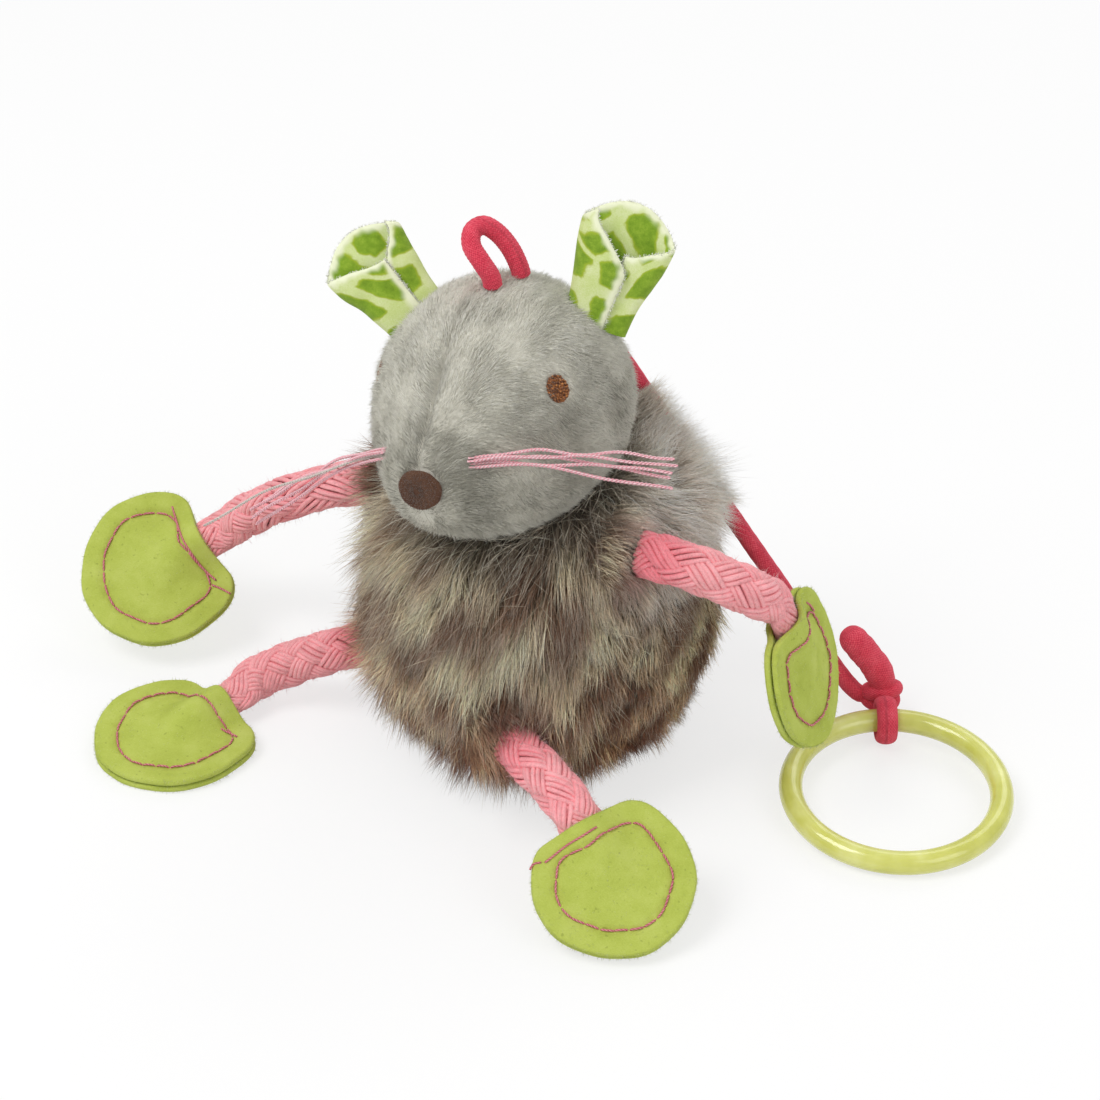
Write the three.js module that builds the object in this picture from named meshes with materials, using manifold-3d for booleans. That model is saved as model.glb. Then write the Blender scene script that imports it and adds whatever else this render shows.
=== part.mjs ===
// A stuffed mouse dangler: plush head, furry body, braided limbs, felt paws, and a ring on an elastic cord.
// Millimetres, +Z up. The mouse faces -Y and sits on Z = 0, with its body's axis on the Z axis.
import * as THREE from "three";
import { mergeVertices } from "three/addons/utils/BufferGeometryUtils.js";
import Module from "manifold-3d";

const wasm = await Module();
wasm.setup();

// Driving dimensions: fits
const clearance = 0.3;
const cutOverrun = 6;
const cutBoxShare = 4;

// Driving dimensions: body
const bodyRadius = 32.5;
const bodyRise = 38.5;
const bodyDrop = 31.5;
const seatDepth = 0.5;
const coverWall = 1.6;
const coatDepth = 5;
const coatFloorGap = 0.8;
const coatRoomSlope = 0.72;
const coatRoomDepth = 14;
const coatRoomBallShare = 1.4;
const cordRoomDegrees = [20, 78];
const headTurnDegrees = 10;
const neckBoreRadius = 8;
const neckBorePlace = [-1.5, -3];

// Driving dimensions: head
const headPlace = [-5.1, -7.3, 80];
const headRollDegrees = -12;
const headYawDegrees = -4;
const headRadius = 23;
const headWidthShare = 1.05;
const snoutLength = 33.8;
const muzzleDrop = 3.8;
const panelWall = 1.2;
const seamGap = 0.4;
const noseRadius = 4.2;
const nosePatchThickness = 1.2;
const noseRiseDegrees = 15;
const noseReachShare = 0.75;
const eyeHalfWidth = 2.2;
const eyeHalfHeight = 2.7;
const eyeThickness = 0.7;
const eyeDirection = [19.5, -11.8, 8.8];

// Driving dimensions: ears
const earThickness = 1.1;
const earLayerGap = 0.5;
const earSink = 2;
const earFoldDegrees = 20;

// Driving dimensions: hang loop
const loopCordRadius = 1.8;

// Driving dimensions: whiskers
const whiskerRadius = 0.4;
const whiskerKnotRadius = 1;

// Driving dimensions: limbs and paws
const limbRadius = 4.7;
const limbTipHalfThickness = 2.1;
const limbTaperLength = 12;
const wristLength = 4.5;
const feltThickness = 1.3;
const feltGap = 0.3;
const pawEntryInset = 2;
const pawCentreReach = 10.5;
const pawPocketLength = 12;
const pawPocketHalfWidth = 9;
const pawLipRise = 1.3;
const stitchRadius = 0.3;
const stitchInset = 4.6;
const stitchRise = 0.8;

// Driving dimensions: elastic cord and ring
const elasticRadius = 1.75;
const tailRadius = 2.5;
const knotHalfLength = 4.2;
const knotHalfHeight = 3;
const ringOuterRadius = 23;
const ringTubeRadius = 2.35;
const ringLoopThickness = 2.3;
const ringLoopWidth = 4.4;
const ringCentre = [73.7, 3.4];
const ringFarDirection = [-0.436, 0.9];

const axisX = new THREE.Vector3(1, 0, 0);
const axisY = new THREE.Vector3(0, 1, 0);
const axisZ = new THREE.Vector3(0, 0, 1);
const point = (list) => new THREE.Vector3(...list);
const degrees = (value) => THREE.MathUtils.degToRad(value);
const smooth = (t) => THREE.MathUtils.smoothstep(t, 0, 1);

// Solids: merging, facing outwards, joining and cutting
function closed(source) {
  const bare = source.clone();
  bare.deleteAttribute("normal");
  bare.deleteAttribute("uv");
  const geometry = mergeVertices(bare, 1e-4);
  const place = geometry.getAttribute("position");
  const index = Array.from(geometry.getIndex().array);
  const corner = [new THREE.Vector3(), new THREE.Vector3(), new THREE.Vector3()];
  const kept = [];
  let volume = 0;
  for (let i = 0; i < index.length; i += 3) {
    const [a, b, c] = index.slice(i, i + 3);
    if (a !== b && b !== c && c !== a) {
      kept.push(a, b, c);
      corner[0].fromBufferAttribute(place, a);
      corner[1].fromBufferAttribute(place, b);
      corner[2].fromBufferAttribute(place, c);
      volume += corner[0].dot(corner[1].cross(corner[2]));
    }
  }
  if (volume < 0) {
    for (let i = 0; i < kept.length; i += 3) {
      [kept[i], kept[i + 1]] = [kept[i + 1], kept[i]];
    }
  }
  geometry.setIndex(kept);
  return geometry;
}

function solid(geometry) {
  const shape = closed(geometry);
  return new wasm.Manifold(new wasm.Mesh({
    numProp: 3,
    vertProperties: new Float32Array(shape.getAttribute("position").array),
    triVerts: new Uint32Array(shape.getIndex().array),
  }));
}

// The mesh of a solid, without the slivers that a cut leaves beside it
function shapeOf(body) {
  const pieces = body.decompose().sort((a, b) => b.volume() - a.volume());
  const mesh = pieces[0].getMesh();
  const geometry = new THREE.BufferGeometry();
  geometry.setAttribute("position", new THREE.BufferAttribute(new Float32Array(mesh.vertProperties), 3));
  geometry.setIndex(Array.from(mesh.triVerts));
  return geometry;
}

// Every corner of a geometry goes through one mapping
function mapped(geometry, mapping) {
  const place = geometry.getAttribute("position");
  const corner = new THREE.Vector3();
  for (let i = 0; i < place.count; i += 1) {
    corner.fromBufferAttribute(place, i);
    const target = mapping(corner);
    place.setXYZ(i, target.x, target.y, target.z);
  }
  return geometry;
}

// A lathe profile moved outwards along its own normals; its two ends stay on the axis
function grownProfile(profile, grow) {
  const last = profile.length - 1;
  return profile.map((here, i) => {
    if (i === 0 || i === last) {
      const inner = profile[i === 0 ? 1 : last - 1];
      return new THREE.Vector2(0, here.y + grow * Math.sign(here.y - inner.y));
    }
    const along = profile[i + 1].clone().sub(profile[i - 1]).normalize();
    return new THREE.Vector2(Math.max(here.x + grow * along.y, 0), here.y - grow * along.x);
  });
}

// The body: an egg of revolution about Z, wider and rounder below its widest level than above
const bodyLevel = bodyDrop - seatDepth;
const fineBody = [18, 32];
const coarseBody = [12, 22];
function eggGeometry(grow, steps, around) {
  const profile = [];
  for (let i = 0; i <= steps; i += 1) {
    const angle = Math.PI * (i / steps - 0.5);
    const height = angle < 0 ? bodyDrop : bodyRise;
    profile.push(new THREE.Vector2(bodyRadius * Math.cos(angle), bodyLevel + height * Math.sin(angle)));
  }
  profile[0].x = 0;
  profile[steps].x = 0;
  return new THREE.LatheGeometry(grownProfile(profile, grow), around).rotateX(Math.PI / 2);
}

// Everything below a level, as a box to cut with
function belowLevel(level) {
  const side = bodyRadius * cutBoxShare;
  return new THREE.BoxGeometry(side, side, side).translate(0, 0, level - side / 2);
}

function bodyStuffing() {
  const inset = coverWall + clearance;
  return shapeOf(solid(eggGeometry(-inset, ...coarseBody)).subtract(solid(belowLevel(inset))));
}

// The head: a ball that tapers into a blunt snout along -Y, the muzzle a little lower than the skull
const snoutProfileShares = [
  [0, 1], [0.2, 0.98], [0.4, 0.885], [0.58, 0.74], [0.74, 0.57],
  [0.86, 0.43], [0.94, 0.3], [0.985, 0.15], [1, 0],
];
function headProfile(backSteps, frontSteps) {
  const profile = [];
  for (let i = 0; i < backSteps; i += 1) {
    const angle = (Math.PI / 2) * (1 - i / backSteps);
    profile.push(new THREE.Vector2(headRadius * Math.cos(angle), headRadius * Math.sin(angle)));
  }
  profile[0].x = 0;
  const front = new THREE.SplineCurve(snoutProfileShares.map(
    ([along, across]) => new THREE.Vector2(headRadius * across, -snoutLength * along),
  ));
  const points = front.getPoints(frontSteps);
  points[frontSteps].x = 0;
  return profile.concat(points).reverse();
}

function headGeometry(grow, backSteps, frontSteps, around) {
  const lathe = new THREE.LatheGeometry(grownProfile(headProfile(backSteps, frontSteps), grow), around);
  return mapped(lathe, (v) => {
    v.x *= headWidthShare;
    v.z -= muzzleDrop * smooth(-v.y / snoutLength);
    return v;
  });
}

const headTurn = new THREE.Euler(0, degrees(headRollDegrees), degrees(headYawDegrees), "ZYX");
const headMatrix = new THREE.Matrix4().compose(
  point(headPlace), new THREE.Quaternion().setFromEuler(headTurn), new THREE.Vector3(1, 1, 1),
);
const headInverse = headMatrix.clone().invert();

// The neck: what the body takes out of the head, in the head's own frame
const fineHead = [7, 14, 28];
const coarseHead = [6, 10, 20];
const neckCut = solid(eggGeometry(clearance, ...fineBody).applyMatrix4(headInverse));
const headOuter = solid(headGeometry(0, ...fineHead));
const headInner = solid(headGeometry(-panelWall, ...coarseHead));

function headPanel(side) {
  const width = headRadius * 2;
  const length = (headRadius + snoutLength) * 2;
  const half = new THREE.BoxGeometry(width, length, length).translate(side * (width + seamGap) / 2, 0, 0);
  return shapeOf(headOuter.subtract(headInner).subtract(neckCut).intersect(solid(half)));
}

function headStuffing() {
  const filling = solid(headGeometry(-panelWall - clearance, ...coarseHead));
  return shapeOf(filling.subtract(neckCut));
}

// A thin patch that follows the head's surface: a plug along a direction, between two grown heads
function headPatch(plug, thickness) {
  const outside = solid(headGeometry(clearance + thickness, ...fineHead));
  const skin = outside.subtract(solid(headGeometry(clearance, ...fineHead)));
  return shapeOf(skin.intersect(solid(plug)));
}

function nosePatch() {
  const plug = new THREE.CylinderGeometry(noseRadius, noseRadius, snoutLength, 20);
  const rise = degrees(noseRiseDegrees);
  const facing = new THREE.Vector3(0, -Math.cos(rise), Math.sin(rise));
  const muzzle = new THREE.Vector3(0, -snoutLength * noseReachShare, -muzzleDrop);
  plug.applyQuaternion(new THREE.Quaternion().setFromUnitVectors(axisY, facing));
  plug.translate(...muzzle.addScaledVector(facing, snoutLength / 2));
  return headPatch(plug, nosePatchThickness);
}

function eyePatch(side) {
  const facing = point(eyeDirection).normalize();
  facing.x *= side;
  const plug = new THREE.CylinderGeometry(1, 1, headRadius, 16).scale(eyeHalfWidth, 1, eyeHalfHeight);
  plug.applyQuaternion(new THREE.Quaternion().setFromUnitVectors(axisY, facing));
  plug.translate(...facing.clone().multiplyScalar(headRadius));
  return headPatch(plug, eyeThickness);
}

// Ears: a rounded cloth panel whose two sides are folded to its front, pinched where it enters the head
const ears = {
  ear_left: {
    base: [17.3, 9, 13.1], up: [0.355, 0.41, 0.84], across: [0.83, 0.29, -0.46],
    length: 22.5, baseWidth: 11.5, topWidth: 17.5,
  },
  ear_right: {
    base: [-17, 0, 15.8], up: [-0.62, 0.03, 0.78], across: [0.54, 0.69, 0.47],
    length: 19.5, baseWidth: 11.5, topWidth: 17,
  },
};

// The folded section: the cloth's run across the ear, as shares of half its width and of the fold's depth
const earSectionShares = [
  [0.02, 1], [-0.45, 1.05], [-0.85, 0.85], [-1, 0.45], [-0.85, 0.08], [-0.4, 0], [0, 0],
  [0.4, 0], [0.85, 0.08], [1, 0.45], [0.85, 0.85], [0.55, 0.98], [0.28, 1],
];
const earTipRoundShare = 0.2;
const foldStepShares = [-1, -0.5, 0, 0.5, 1];
function earFrame(ear) {
  const up = point(ear.up).normalize();
  const across = point(ear.across);
  across.addScaledVector(up, -across.dot(up)).normalize();
  const facing = across.clone().cross(up);
  return { up, across, facing };
}

function earShape(ear) {
  const { up, across, facing } = earFrame(ear);
  const section = new THREE.SplineCurve(earSectionShares.map(([x, y]) => new THREE.Vector2(x, y)));
  const foldDepth = earThickness * 2 + earLayerGap;
  const sheet = new THREE.BoxGeometry(1, 1, 1, 18, 1, 5);
  const body = mapped(sheet, (v) => {
    const along = v.x + 0.5;
    const through = (v.y + 0.5) * earThickness;
    const height = v.z + 0.5;
    const here = section.getPoint(along);
    const slope = section.getTangent(along);
    const half = THREE.MathUtils.lerp(ear.baseWidth, ear.topWidth, smooth(height)) / 2;
    const depth = foldDepth + (half - ear.baseWidth / 2) / 2;
    const flat = new THREE.Vector2(slope.x * half, slope.y * depth).normalize();
    const arc = 1 - earTipRoundShare * here.x * here.x * smooth(height);
    const rise = (ear.length + earSink) * height * arc - earSink;
    return point(ear.base)
      .addScaledVector(across, here.x * half - flat.y * through)
      .addScaledVector(facing, here.y * depth + flat.x * through)
      .addScaledVector(up, rise);
  });
  let shape = solid(body);
  for (const share of foldStepShares) {
    const turn = new THREE.Matrix4().makeTranslation(...ear.base)
      .multiply(new THREE.Matrix4().makeRotationAxis(across, share * degrees(earFoldDegrees)))
      .multiply(new THREE.Matrix4().makeTranslation(...point(ear.base).negate()));
    shape = shape.subtract(solid(headGeometry(clearance, ...fineHead).applyMatrix4(turn)));
  }
  return shapeOf(shape);
}

// Tubes: a round section along a hand-chosen route
function tube(route, radius, sides, steps) {
  const ring = new THREE.Shape();
  for (let i = 0; i < sides; i += 1) {
    const angle = (2 * Math.PI * i) / sides;
    const place = [radius * Math.cos(angle), radius * Math.sin(angle)];
    if (i === 0) ring.moveTo(...place);
    else ring.lineTo(...place);
  }
  ring.closePath();
  const path = new THREE.CatmullRomCurve3(route.map(point), false, "centripetal");
  return new THREE.ExtrudeGeometry(ring, { steps, extrudePath: path, bevelEnabled: false });
}

function ball(place, radius) {
  return new THREE.SphereGeometry(radius, 8, 6).rotateX(Math.PI / 2).translate(...place);
}

// The hang loop, in the head's frame: both feet are round, so the loop flops on them
const hangLoopRoute = [
  [2.6, -1, 25.1], [1.6, -1.6, 28.4], [-0.2, -1, 31.4], [-0.6, 0.9, 33.3], [0.5, 2.9, 33.6],
  [2, 4.5, 31.6], [3.6, 5.4, 28.2], [4.6, 5.7, 24.3],
];
function hangLoop() {
  const strand = solid(tube(hangLoopRoute, loopCordRadius, 8, 18));
  const feet = [hangLoopRoute[0], hangLoopRoute[hangLoopRoute.length - 1]];
  return shapeOf(feet.reduce((shape, foot) => shape.add(solid(ball(foot, loopCordRadius))), strand));
}

// Whiskers, in the head's frame: threads that fan out from one knot on each side of the muzzle
const whiskers = {
  whiskers_left: {
    root: [10.4, -30.2, 1.6],
    tips: [
      [40.8, -13.3, -8.9], [40.2, -12.5, -7.2], [40.8, -12.5, -6.2], [41.6, -11.5, -5.2], [41, -11.2, -4],
    ],
  },
  whiskers_right: {
    root: [-10.4, -30.2, 1.6],
    tips: [
      [-44.3, -27.8, -17.2], [-54.7, -30.8, -17], [-44, -28.9, -15.2], [-44.7, -28, -14],
      [-43, -26.1, -13.3],
    ],
  },
};
const whiskerSagShare = 0.04;
const whiskerStepShares = [0, 0.3, 0.65, 1];
function whiskerFan(fan) {
  const root = point(fan.root);
  return shapeOf(fan.tips.reduce((shape, tip, i) => {
    const span = point(tip).sub(root);
    const route = whiskerStepShares.map((share) => {
      const bow = whiskerSagShare * span.length() * Math.sin(Math.PI * share);
      const spread = (i - 2) * whiskerRadius * Math.sin(Math.PI * Math.min(share * 2, 1));
      const here = root.clone().addScaledVector(span, share);
      here.z += bow + spread;
      return here.toArray();
    });
    return shape.add(solid(tube(route, whiskerRadius, 5, 5)));
  }, solid(ball(fan.root, whiskerKnotRadius))));
}

// Limbs: a round root, an even braid and a flattened tip that ends on the paw's hinge line
const limbs = {
  arm_left: {
    route: [[26.1, -14.9, 57.4], [32.4, -14.6, 57.3], [39.3, -12.5, 55], [45.9, -8.5, 50.4]],
    hinge: [51.4, -3.2, 41.2], outward: [0.31, 0.1, -0.94], normal: [0.94, 0.08, 0.32],
    radius: 15.7, bellyShare: 0,
  },
  arm_right: {
    route: [[-34.4, -1.6, 48.6], [-45.3, 0.7, 44], [-57.4, 2.4, 37.1], [-70.9, 5.1, 26.9]],
    hinge: [-80, 0.2, 20.1], outward: [-0.62, -0.7, -0.35], normal: [0.24, -0.5, 0.83],
    radius: 16.8, bellyShare: 0.4,
  },
  leg_left: {
    route: [[8.8, -34.7, 21], [14.5, -38.5, 20.6], [20.2, -41.5, 19.6]],
    hinge: [29.4, -46.8, 15.6], outward: [0.754, -0.437, -0.49], normal: [0.25, -0.5, 0.83],
    radius: 15.4, bellyShare: 0.2,
  },
  leg_right: {
    route: [[-32.7, -12.1, 17.3], [-41.8, -14.6, 13.4], [-50.2, -16.4, 8.9], [-56.6, -20.3, 5.6]],
    hinge: [-60.4, -29.6, 4.2], outward: [-0.42, -0.905, -0.02], normal: [0, -0.02, 1],
    radius: 16.6, bellyShare: 1,
  },
};

function frameOf(limb) {
  const outward = point(limb.outward).normalize();
  const normal = point(limb.normal);
  normal.addScaledVector(outward, -normal.dot(outward)).normalize();
  const across = normal.clone().cross(outward);
  return { outward, normal, across };
}

// The braid's last stretch runs straight into the paw
function limbPath(limb) {
  const { outward } = frameOf(limb);
  const last = [wristLength, wristLength / 2, 0].map(
    (back) => point(limb.hinge).addScaledVector(outward, -back),
  );
  return new THREE.CatmullRomCurve3(limb.route.map(point).concat(last), false, "centripetal");
}

function limbShape(limb) {
  const path = limbPath(limb);
  const length = path.getLength();
  const profile = [];
  const rootSteps = 4;
  for (let i = 0; i < rootSteps; i += 1) {
    const angle = (Math.PI / 2) * (i / rootSteps);
    profile.push(new THREE.Vector2(limbRadius * Math.sin(angle), -limbRadius * Math.cos(angle)));
  }
  const shaftSteps = 12;
  for (let i = 0; i < shaftSteps; i += 1) {
    profile.push(new THREE.Vector2(limbRadius, (length * i) / shaftSteps));
  }
  const tipSteps = 3;
  for (let i = 0; i <= tipSteps; i += 1) {
    const angle = (Math.PI / 2) * (i / tipSteps);
    const end = length + limbTipHalfThickness * Math.sin(angle);
    profile.push(new THREE.Vector2(limbRadius * Math.cos(angle), end));
  }
  profile[0].x = 0;
  profile[profile.length - 1].x = 0;
  const { normal } = frameOf(limb);
  return closed(mapped(new THREE.LatheGeometry(profile, 14), (v) => {
    const along = THREE.MathUtils.clamp(v.y, 0, length);
    const share = along / length;
    const forward = path.getTangentAt(share);
    const side = forward.clone().cross(normal).normalize();
    const lift = side.clone().cross(forward);
    const taper = smooth((along - length + limbTaperLength) / (limbTaperLength - wristLength));
    const flat = THREE.MathUtils.lerp(1, limbTipHalfThickness / limbRadius, taper);
    return path.getPointAt(share)
      .addScaledVector(side, v.x)
      .addScaledVector(lift, v.z * flat)
      .addScaledVector(forward, v.y - along);
  }));
}

// Paws, in a frame on the hinge line: X runs out to the far rim, Z is the paw's normal
const wobbleShares = [[3, 0.012, 0.4], [5, 0.01, 2.1]];
function pawEdge(limb, angle, inset) {
  const wobble = wobbleShares.reduce(
    (sum, [waves, share, start]) => sum + share * Math.sin(waves * angle + start), 1,
  );
  const round = limb.radius * wobble - inset;
  const flat = pawCentreReach + pawEntryInset - inset;
  const towards = -Math.cos(angle);
  return towards > 0 ? Math.min(round, flat / towards) : round;
}

// Half the opening between the two felts: wide at the entry for the braid, closed from the stitches outwards
function pocket(x, y) {
  const mouth = limbTipHalfThickness + clearance;
  const lip = pawLipRise * smooth(1 - (x + pawEntryInset) / (pawEntryInset * 2));
  const along = 1 - smooth((x - limbTipHalfThickness * 2) / pawPocketLength);
  const beside = 1 - smooth((Math.abs(y) - limbRadius - clearance * 2) / (pawPocketHalfWidth - limbRadius));
  return feltGap / 2 + (mouth + lip - feltGap / 2) * along * beside;
}

function pawSurface(limb, x, y, side) {
  const open = pocket(x, y);
  const mouth = limbTipHalfThickness + clearance;
  return limb.bellyShare * (open - mouth) + side * open;
}

const pawRingShares = [0, 0.3, 0.55, 0.76, 0.9, 1];
function pawLayer(limb, side) {
  const inner = pawRingShares.map((share) => new THREE.Vector2(share, 0));
  const outer = pawRingShares.map((share) => new THREE.Vector2(share, 1)).reverse();
  return closed(mapped(new THREE.LatheGeometry(inner.concat(outer), 22), (v) => {
    const angle = Math.atan2(v.z, v.x);
    const reach = Math.hypot(v.x, v.z) * pawEdge(limb, angle, 0);
    const x = pawCentreReach + reach * Math.cos(angle);
    const y = reach * Math.sin(angle);
    return new THREE.Vector3(x, y, pawSurface(limb, x, y, side) + side * v.y * feltThickness);
  }));
}

// The stitching thread lies on the upper felt in one loop, inset from the edge
function pawStitching(limb) {
  const section = [];
  const sides = 5;
  for (let i = 0; i <= sides; i += 1) {
    const angle = (2 * Math.PI * i) / sides;
    const out = 1 + stitchRadius * Math.cos(angle) / limb.radius;
    section.push(new THREE.Vector2(out, stitchRadius * Math.sin(angle)));
  }
  section[sides].copy(section[0]);
  return closed(mapped(new THREE.LatheGeometry(section, 32), (v) => {
    const angle = Math.atan2(v.z, v.x);
    const spread = (Math.hypot(v.x, v.z) - 1) * limb.radius;
    const reach = pawEdge(limb, angle, stitchInset) + spread;
    const x = pawCentreReach + reach * Math.cos(angle);
    const y = reach * Math.sin(angle);
    const felt = pawSurface(limb, x, y, 1) + feltThickness;
    return new THREE.Vector3(x, y, felt + stitchRise + stitchRadius + v.y);
  }));
}

// The elastic cord: from the back of the head down to its knot, and the slack tail beyond the knot
const elasticRoute = [
  [5.6, 15.7, 82.3], [8, 16.4, 78.6], [13.3, 17.4, 70.7], [23.7, 19.7, 55], [34.1, 22, 39.3],
  [44.5, 24.3, 23.6],
  [52.4, 26.3, 10.8], [56.4, 27.6, 5.6], [58.6, 28.4, 4.4],
];
const tailRoute = [[61.5, 29.6, 7.4], [60.8, 29.2, 11.4], [58.4, 28, 15.6], [55.4, 26.4, 19.4]];
const knotPlace = [61, 29.5, 5.2];

function elasticMain() {
  const strand = solid(tube(elasticRoute, elasticRadius, 8, 14));
  return shapeOf(strand.add(solid(ball(elasticRoute[0], elasticRadius))).subtract(knotRoom()));
}

function elasticTail() {
  const strand = solid(tube(tailRoute, tailRadius, 8, 5));
  const end = solid(ball(tailRoute[tailRoute.length - 1], tailRadius));
  return shapeOf(strand.add(end).subtract(knotRoom()));
}

// The knot: a rounded lump, widest across the way the cord was drawn tight
const knotAlong = point(ringFarDirection.concat(0)).normalize();
const knotTurn = new THREE.Quaternion().setFromUnitVectors(axisX, knotAlong);
function knotGeometry(grow) {
  const lump = new THREE.SphereGeometry(1, 16, 10);
  lump.scale(knotHalfHeight + grow, knotHalfLength + grow, knotHalfHeight + grow);
  return lump.applyQuaternion(knotTurn).translate(...knotPlace);
}
function knotRoom() {
  return solid(knotGeometry(clearance));
}

// The ring lies with its near side on the floor; the cord's bight under its tube props the far side
const ringRadius = ringOuterRadius - ringTubeRadius;
const nearLevel = ringTubeRadius;
const farLevel = ringTubeRadius + clearance + ringLoopThickness;
const ringTilt = Math.asin((farLevel - nearLevel) / (ringRadius * 2));
const ringFar = point(ringFarDirection.concat(0)).normalize();
const ringTangent = axisZ.clone().cross(ringFar).negate();
const ringTurn = new THREE.Quaternion().setFromAxisAngle(ringTangent, ringTilt);
const ringPlace = point(ringCentre.concat((nearLevel + farLevel) / 2));

function circleProfile(centre, halfRadial, halfAxial, sides) {
  const profile = [];
  for (let i = 0; i <= sides; i += 1) {
    const angle = (2 * Math.PI * i) / sides;
    profile.push(new THREE.Vector2(centre + halfRadial * Math.cos(angle), halfAxial * Math.sin(angle)));
  }
  profile[sides].copy(profile[0]);
  return profile;
}

function fingerRing() {
  const ring = new THREE.LatheGeometry(circleProfile(ringRadius, ringTubeRadius, ringTubeRadius, 10), 36);
  ring.rotateX(Math.PI / 2).applyQuaternion(ringTurn);
  return closed(ring.translate(...ringPlace));
}

function ringLoop() {
  const half = ringLoopThickness / 2;
  const centre = ringTubeRadius + clearance + half;
  const loop = new THREE.LatheGeometry(circleProfile(centre, half, ringLoopWidth / 2, 8), 20);
  loop.applyQuaternion(new THREE.Quaternion().setFromUnitVectors(axisY, ringTangent));
  const place = ringFar.clone().applyQuaternion(ringTurn).multiplyScalar(ringRadius).add(ringPlace);
  return closed(loop.translate(...place));
}

// Room for the cord as it turns with the head and swings away: all that lies further out than the cord's
// inner side, within a wedge about the body's axis
function cordRoom() {
  const reach = bodyRadius * cutBoxShare;
  const runs = elasticRoute.slice(1, -2);
  const [top, foot] = [runs[0], runs[runs.length - 1]].map((place) => Math.hypot(place[0], place[1]));
  const lean = (foot - top) / (runs[0][2] - runs[runs.length - 1][2]);
  const inset = (elasticRadius + clearance) * Math.hypot(1, lean) + clearance;
  const inner = runs.map(([x, y, z]) => new THREE.Vector2(Math.hypot(x, y) - inset, z)).reverse();
  const profile = [new THREE.Vector2(reach, inner[0].y), ...inner];
  profile.push(new THREE.Vector2(reach, inner[inner.length - 1].y), profile[0].clone());
  const outside = new THREE.LatheGeometry(profile, 48).rotateX(Math.PI / 2);
  const wedge = new THREE.Shape([new THREE.Vector2(0, 0), ...cordRoomDegrees.map(
    (angle) => new THREE.Vector2(reach * Math.cos(degrees(angle)), reach * Math.sin(degrees(angle))),
  )]);
  return solid(outside).intersect(solid(new THREE.ExtrudeGeometry(wedge, { depth: reach, bevelEnabled: false })));
}

// The coat: the dense part of the fur's pile as one layer over the body. It leaves room for the head as it
// turns, for the cord, and a funnel round the root of each limb
function coatRooms() {
  const rooms = [-1, 0, 1].map((side) => {
    const turn = new THREE.Matrix4().makeRotationZ(side * degrees(headTurnDegrees)).multiply(headMatrix);
    return solid(headGeometry(clearance, ...coarseHead).applyMatrix4(turn));
  });
  for (const limb of Object.values(limbs)) {
    const start = point(limb.route[0]);
    const leaving = point(limb.route[1]).sub(start).normalize();
    const narrow = limbRadius + clearance;
    const wide = narrow + coatRoomDepth * coatRoomSlope;
    const funnel = new THREE.CylinderGeometry(wide, narrow, coatRoomDepth, 14);
    funnel.translate(0, coatRoomDepth / 2, 0);
    funnel.applyQuaternion(new THREE.Quaternion().setFromUnitVectors(axisY, leaving)).translate(...start);
    rooms.push(solid(funnel), solid(ball(limb.route[0], narrow * coatRoomBallShare)));
  }
  rooms.push(cordRoom());
  return rooms;
}

function bodyCover() {
  const bore = new THREE.CylinderGeometry(neckBoreRadius, neckBoreRadius, bodyRise, 20);
  bore.rotateX(Math.PI / 2).translate(...neckBorePlace, bodyLevel + bodyRise + cutOverrun);
  const pile = coatRooms().reduce(
    (shape, room) => shape.subtract(room),
    solid(eggGeometry(coatDepth, ...fineBody)).subtract(solid(belowLevel(coatFloorGap))),
  );
  return shapeOf(solid(eggGeometry(0, ...fineBody)).subtract(solid(belowLevel(0))).add(pile)
    .subtract(solid(eggGeometry(-coverWall, ...coarseBody)).subtract(solid(belowLevel(coverWall))))
    .subtract(solid(bore)));
}

// Finishes and assembly
const finish = (color, roughness) => ({ color, roughness, metalness: 0 });
const finishes = {
  fur: finish(0x7a7164, 0.95),
  plush: finish(0xa9aa9f, 0.95),
  filling: finish(0xf2f0e8, 1),
  brownFelt: finish(0x5b3a2c, 0.95),
  brownThread: finish(0x8a4a1e, 0.7),
  flannel: finish(0xa8c653, 0.95),
  greenFelt: finish(0xb4c95a, 0.95),
  pinkThread: finish(0xd9798a, 0.8),
  braid: finish(0xf0808a, 0.9),
  elastic: finish(0xd32b4e, 0.75),
  ringPlastic: finish(0xcdd765, 0.25),
};

function piece(parent, name, geometry, look) {
  const mesh = new THREE.Mesh(geometry, new THREE.MeshStandardMaterial(finishes[look]));
  mesh.name = name;
  parent.add(mesh);
}

const mouse = new THREE.Group();
piece(mouse, "body_cover", bodyCover(), "fur");
piece(mouse, "body_stuffing", bodyStuffing(), "filling");

const head = new THREE.Group();
head.position.set(...headPlace);
head.rotation.copy(headTurn);
mouse.add(head);
piece(head, "head_panel_left", headPanel(1), "plush");
piece(head, "head_panel_right", headPanel(-1), "plush");
piece(head, "head_stuffing", headStuffing(), "filling");
piece(head, "nose_patch", nosePatch(), "brownFelt");
piece(head, "eye_left", eyePatch(1), "brownThread");
piece(head, "eye_right", eyePatch(-1), "brownThread");
for (const [name, ear] of Object.entries(ears)) piece(head, name, earShape(ear), "flannel");
for (const [name, fan] of Object.entries(whiskers)) piece(head, name, whiskerFan(fan), "pinkThread");
piece(head, "hang_loop", hangLoop(), "elastic");

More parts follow.
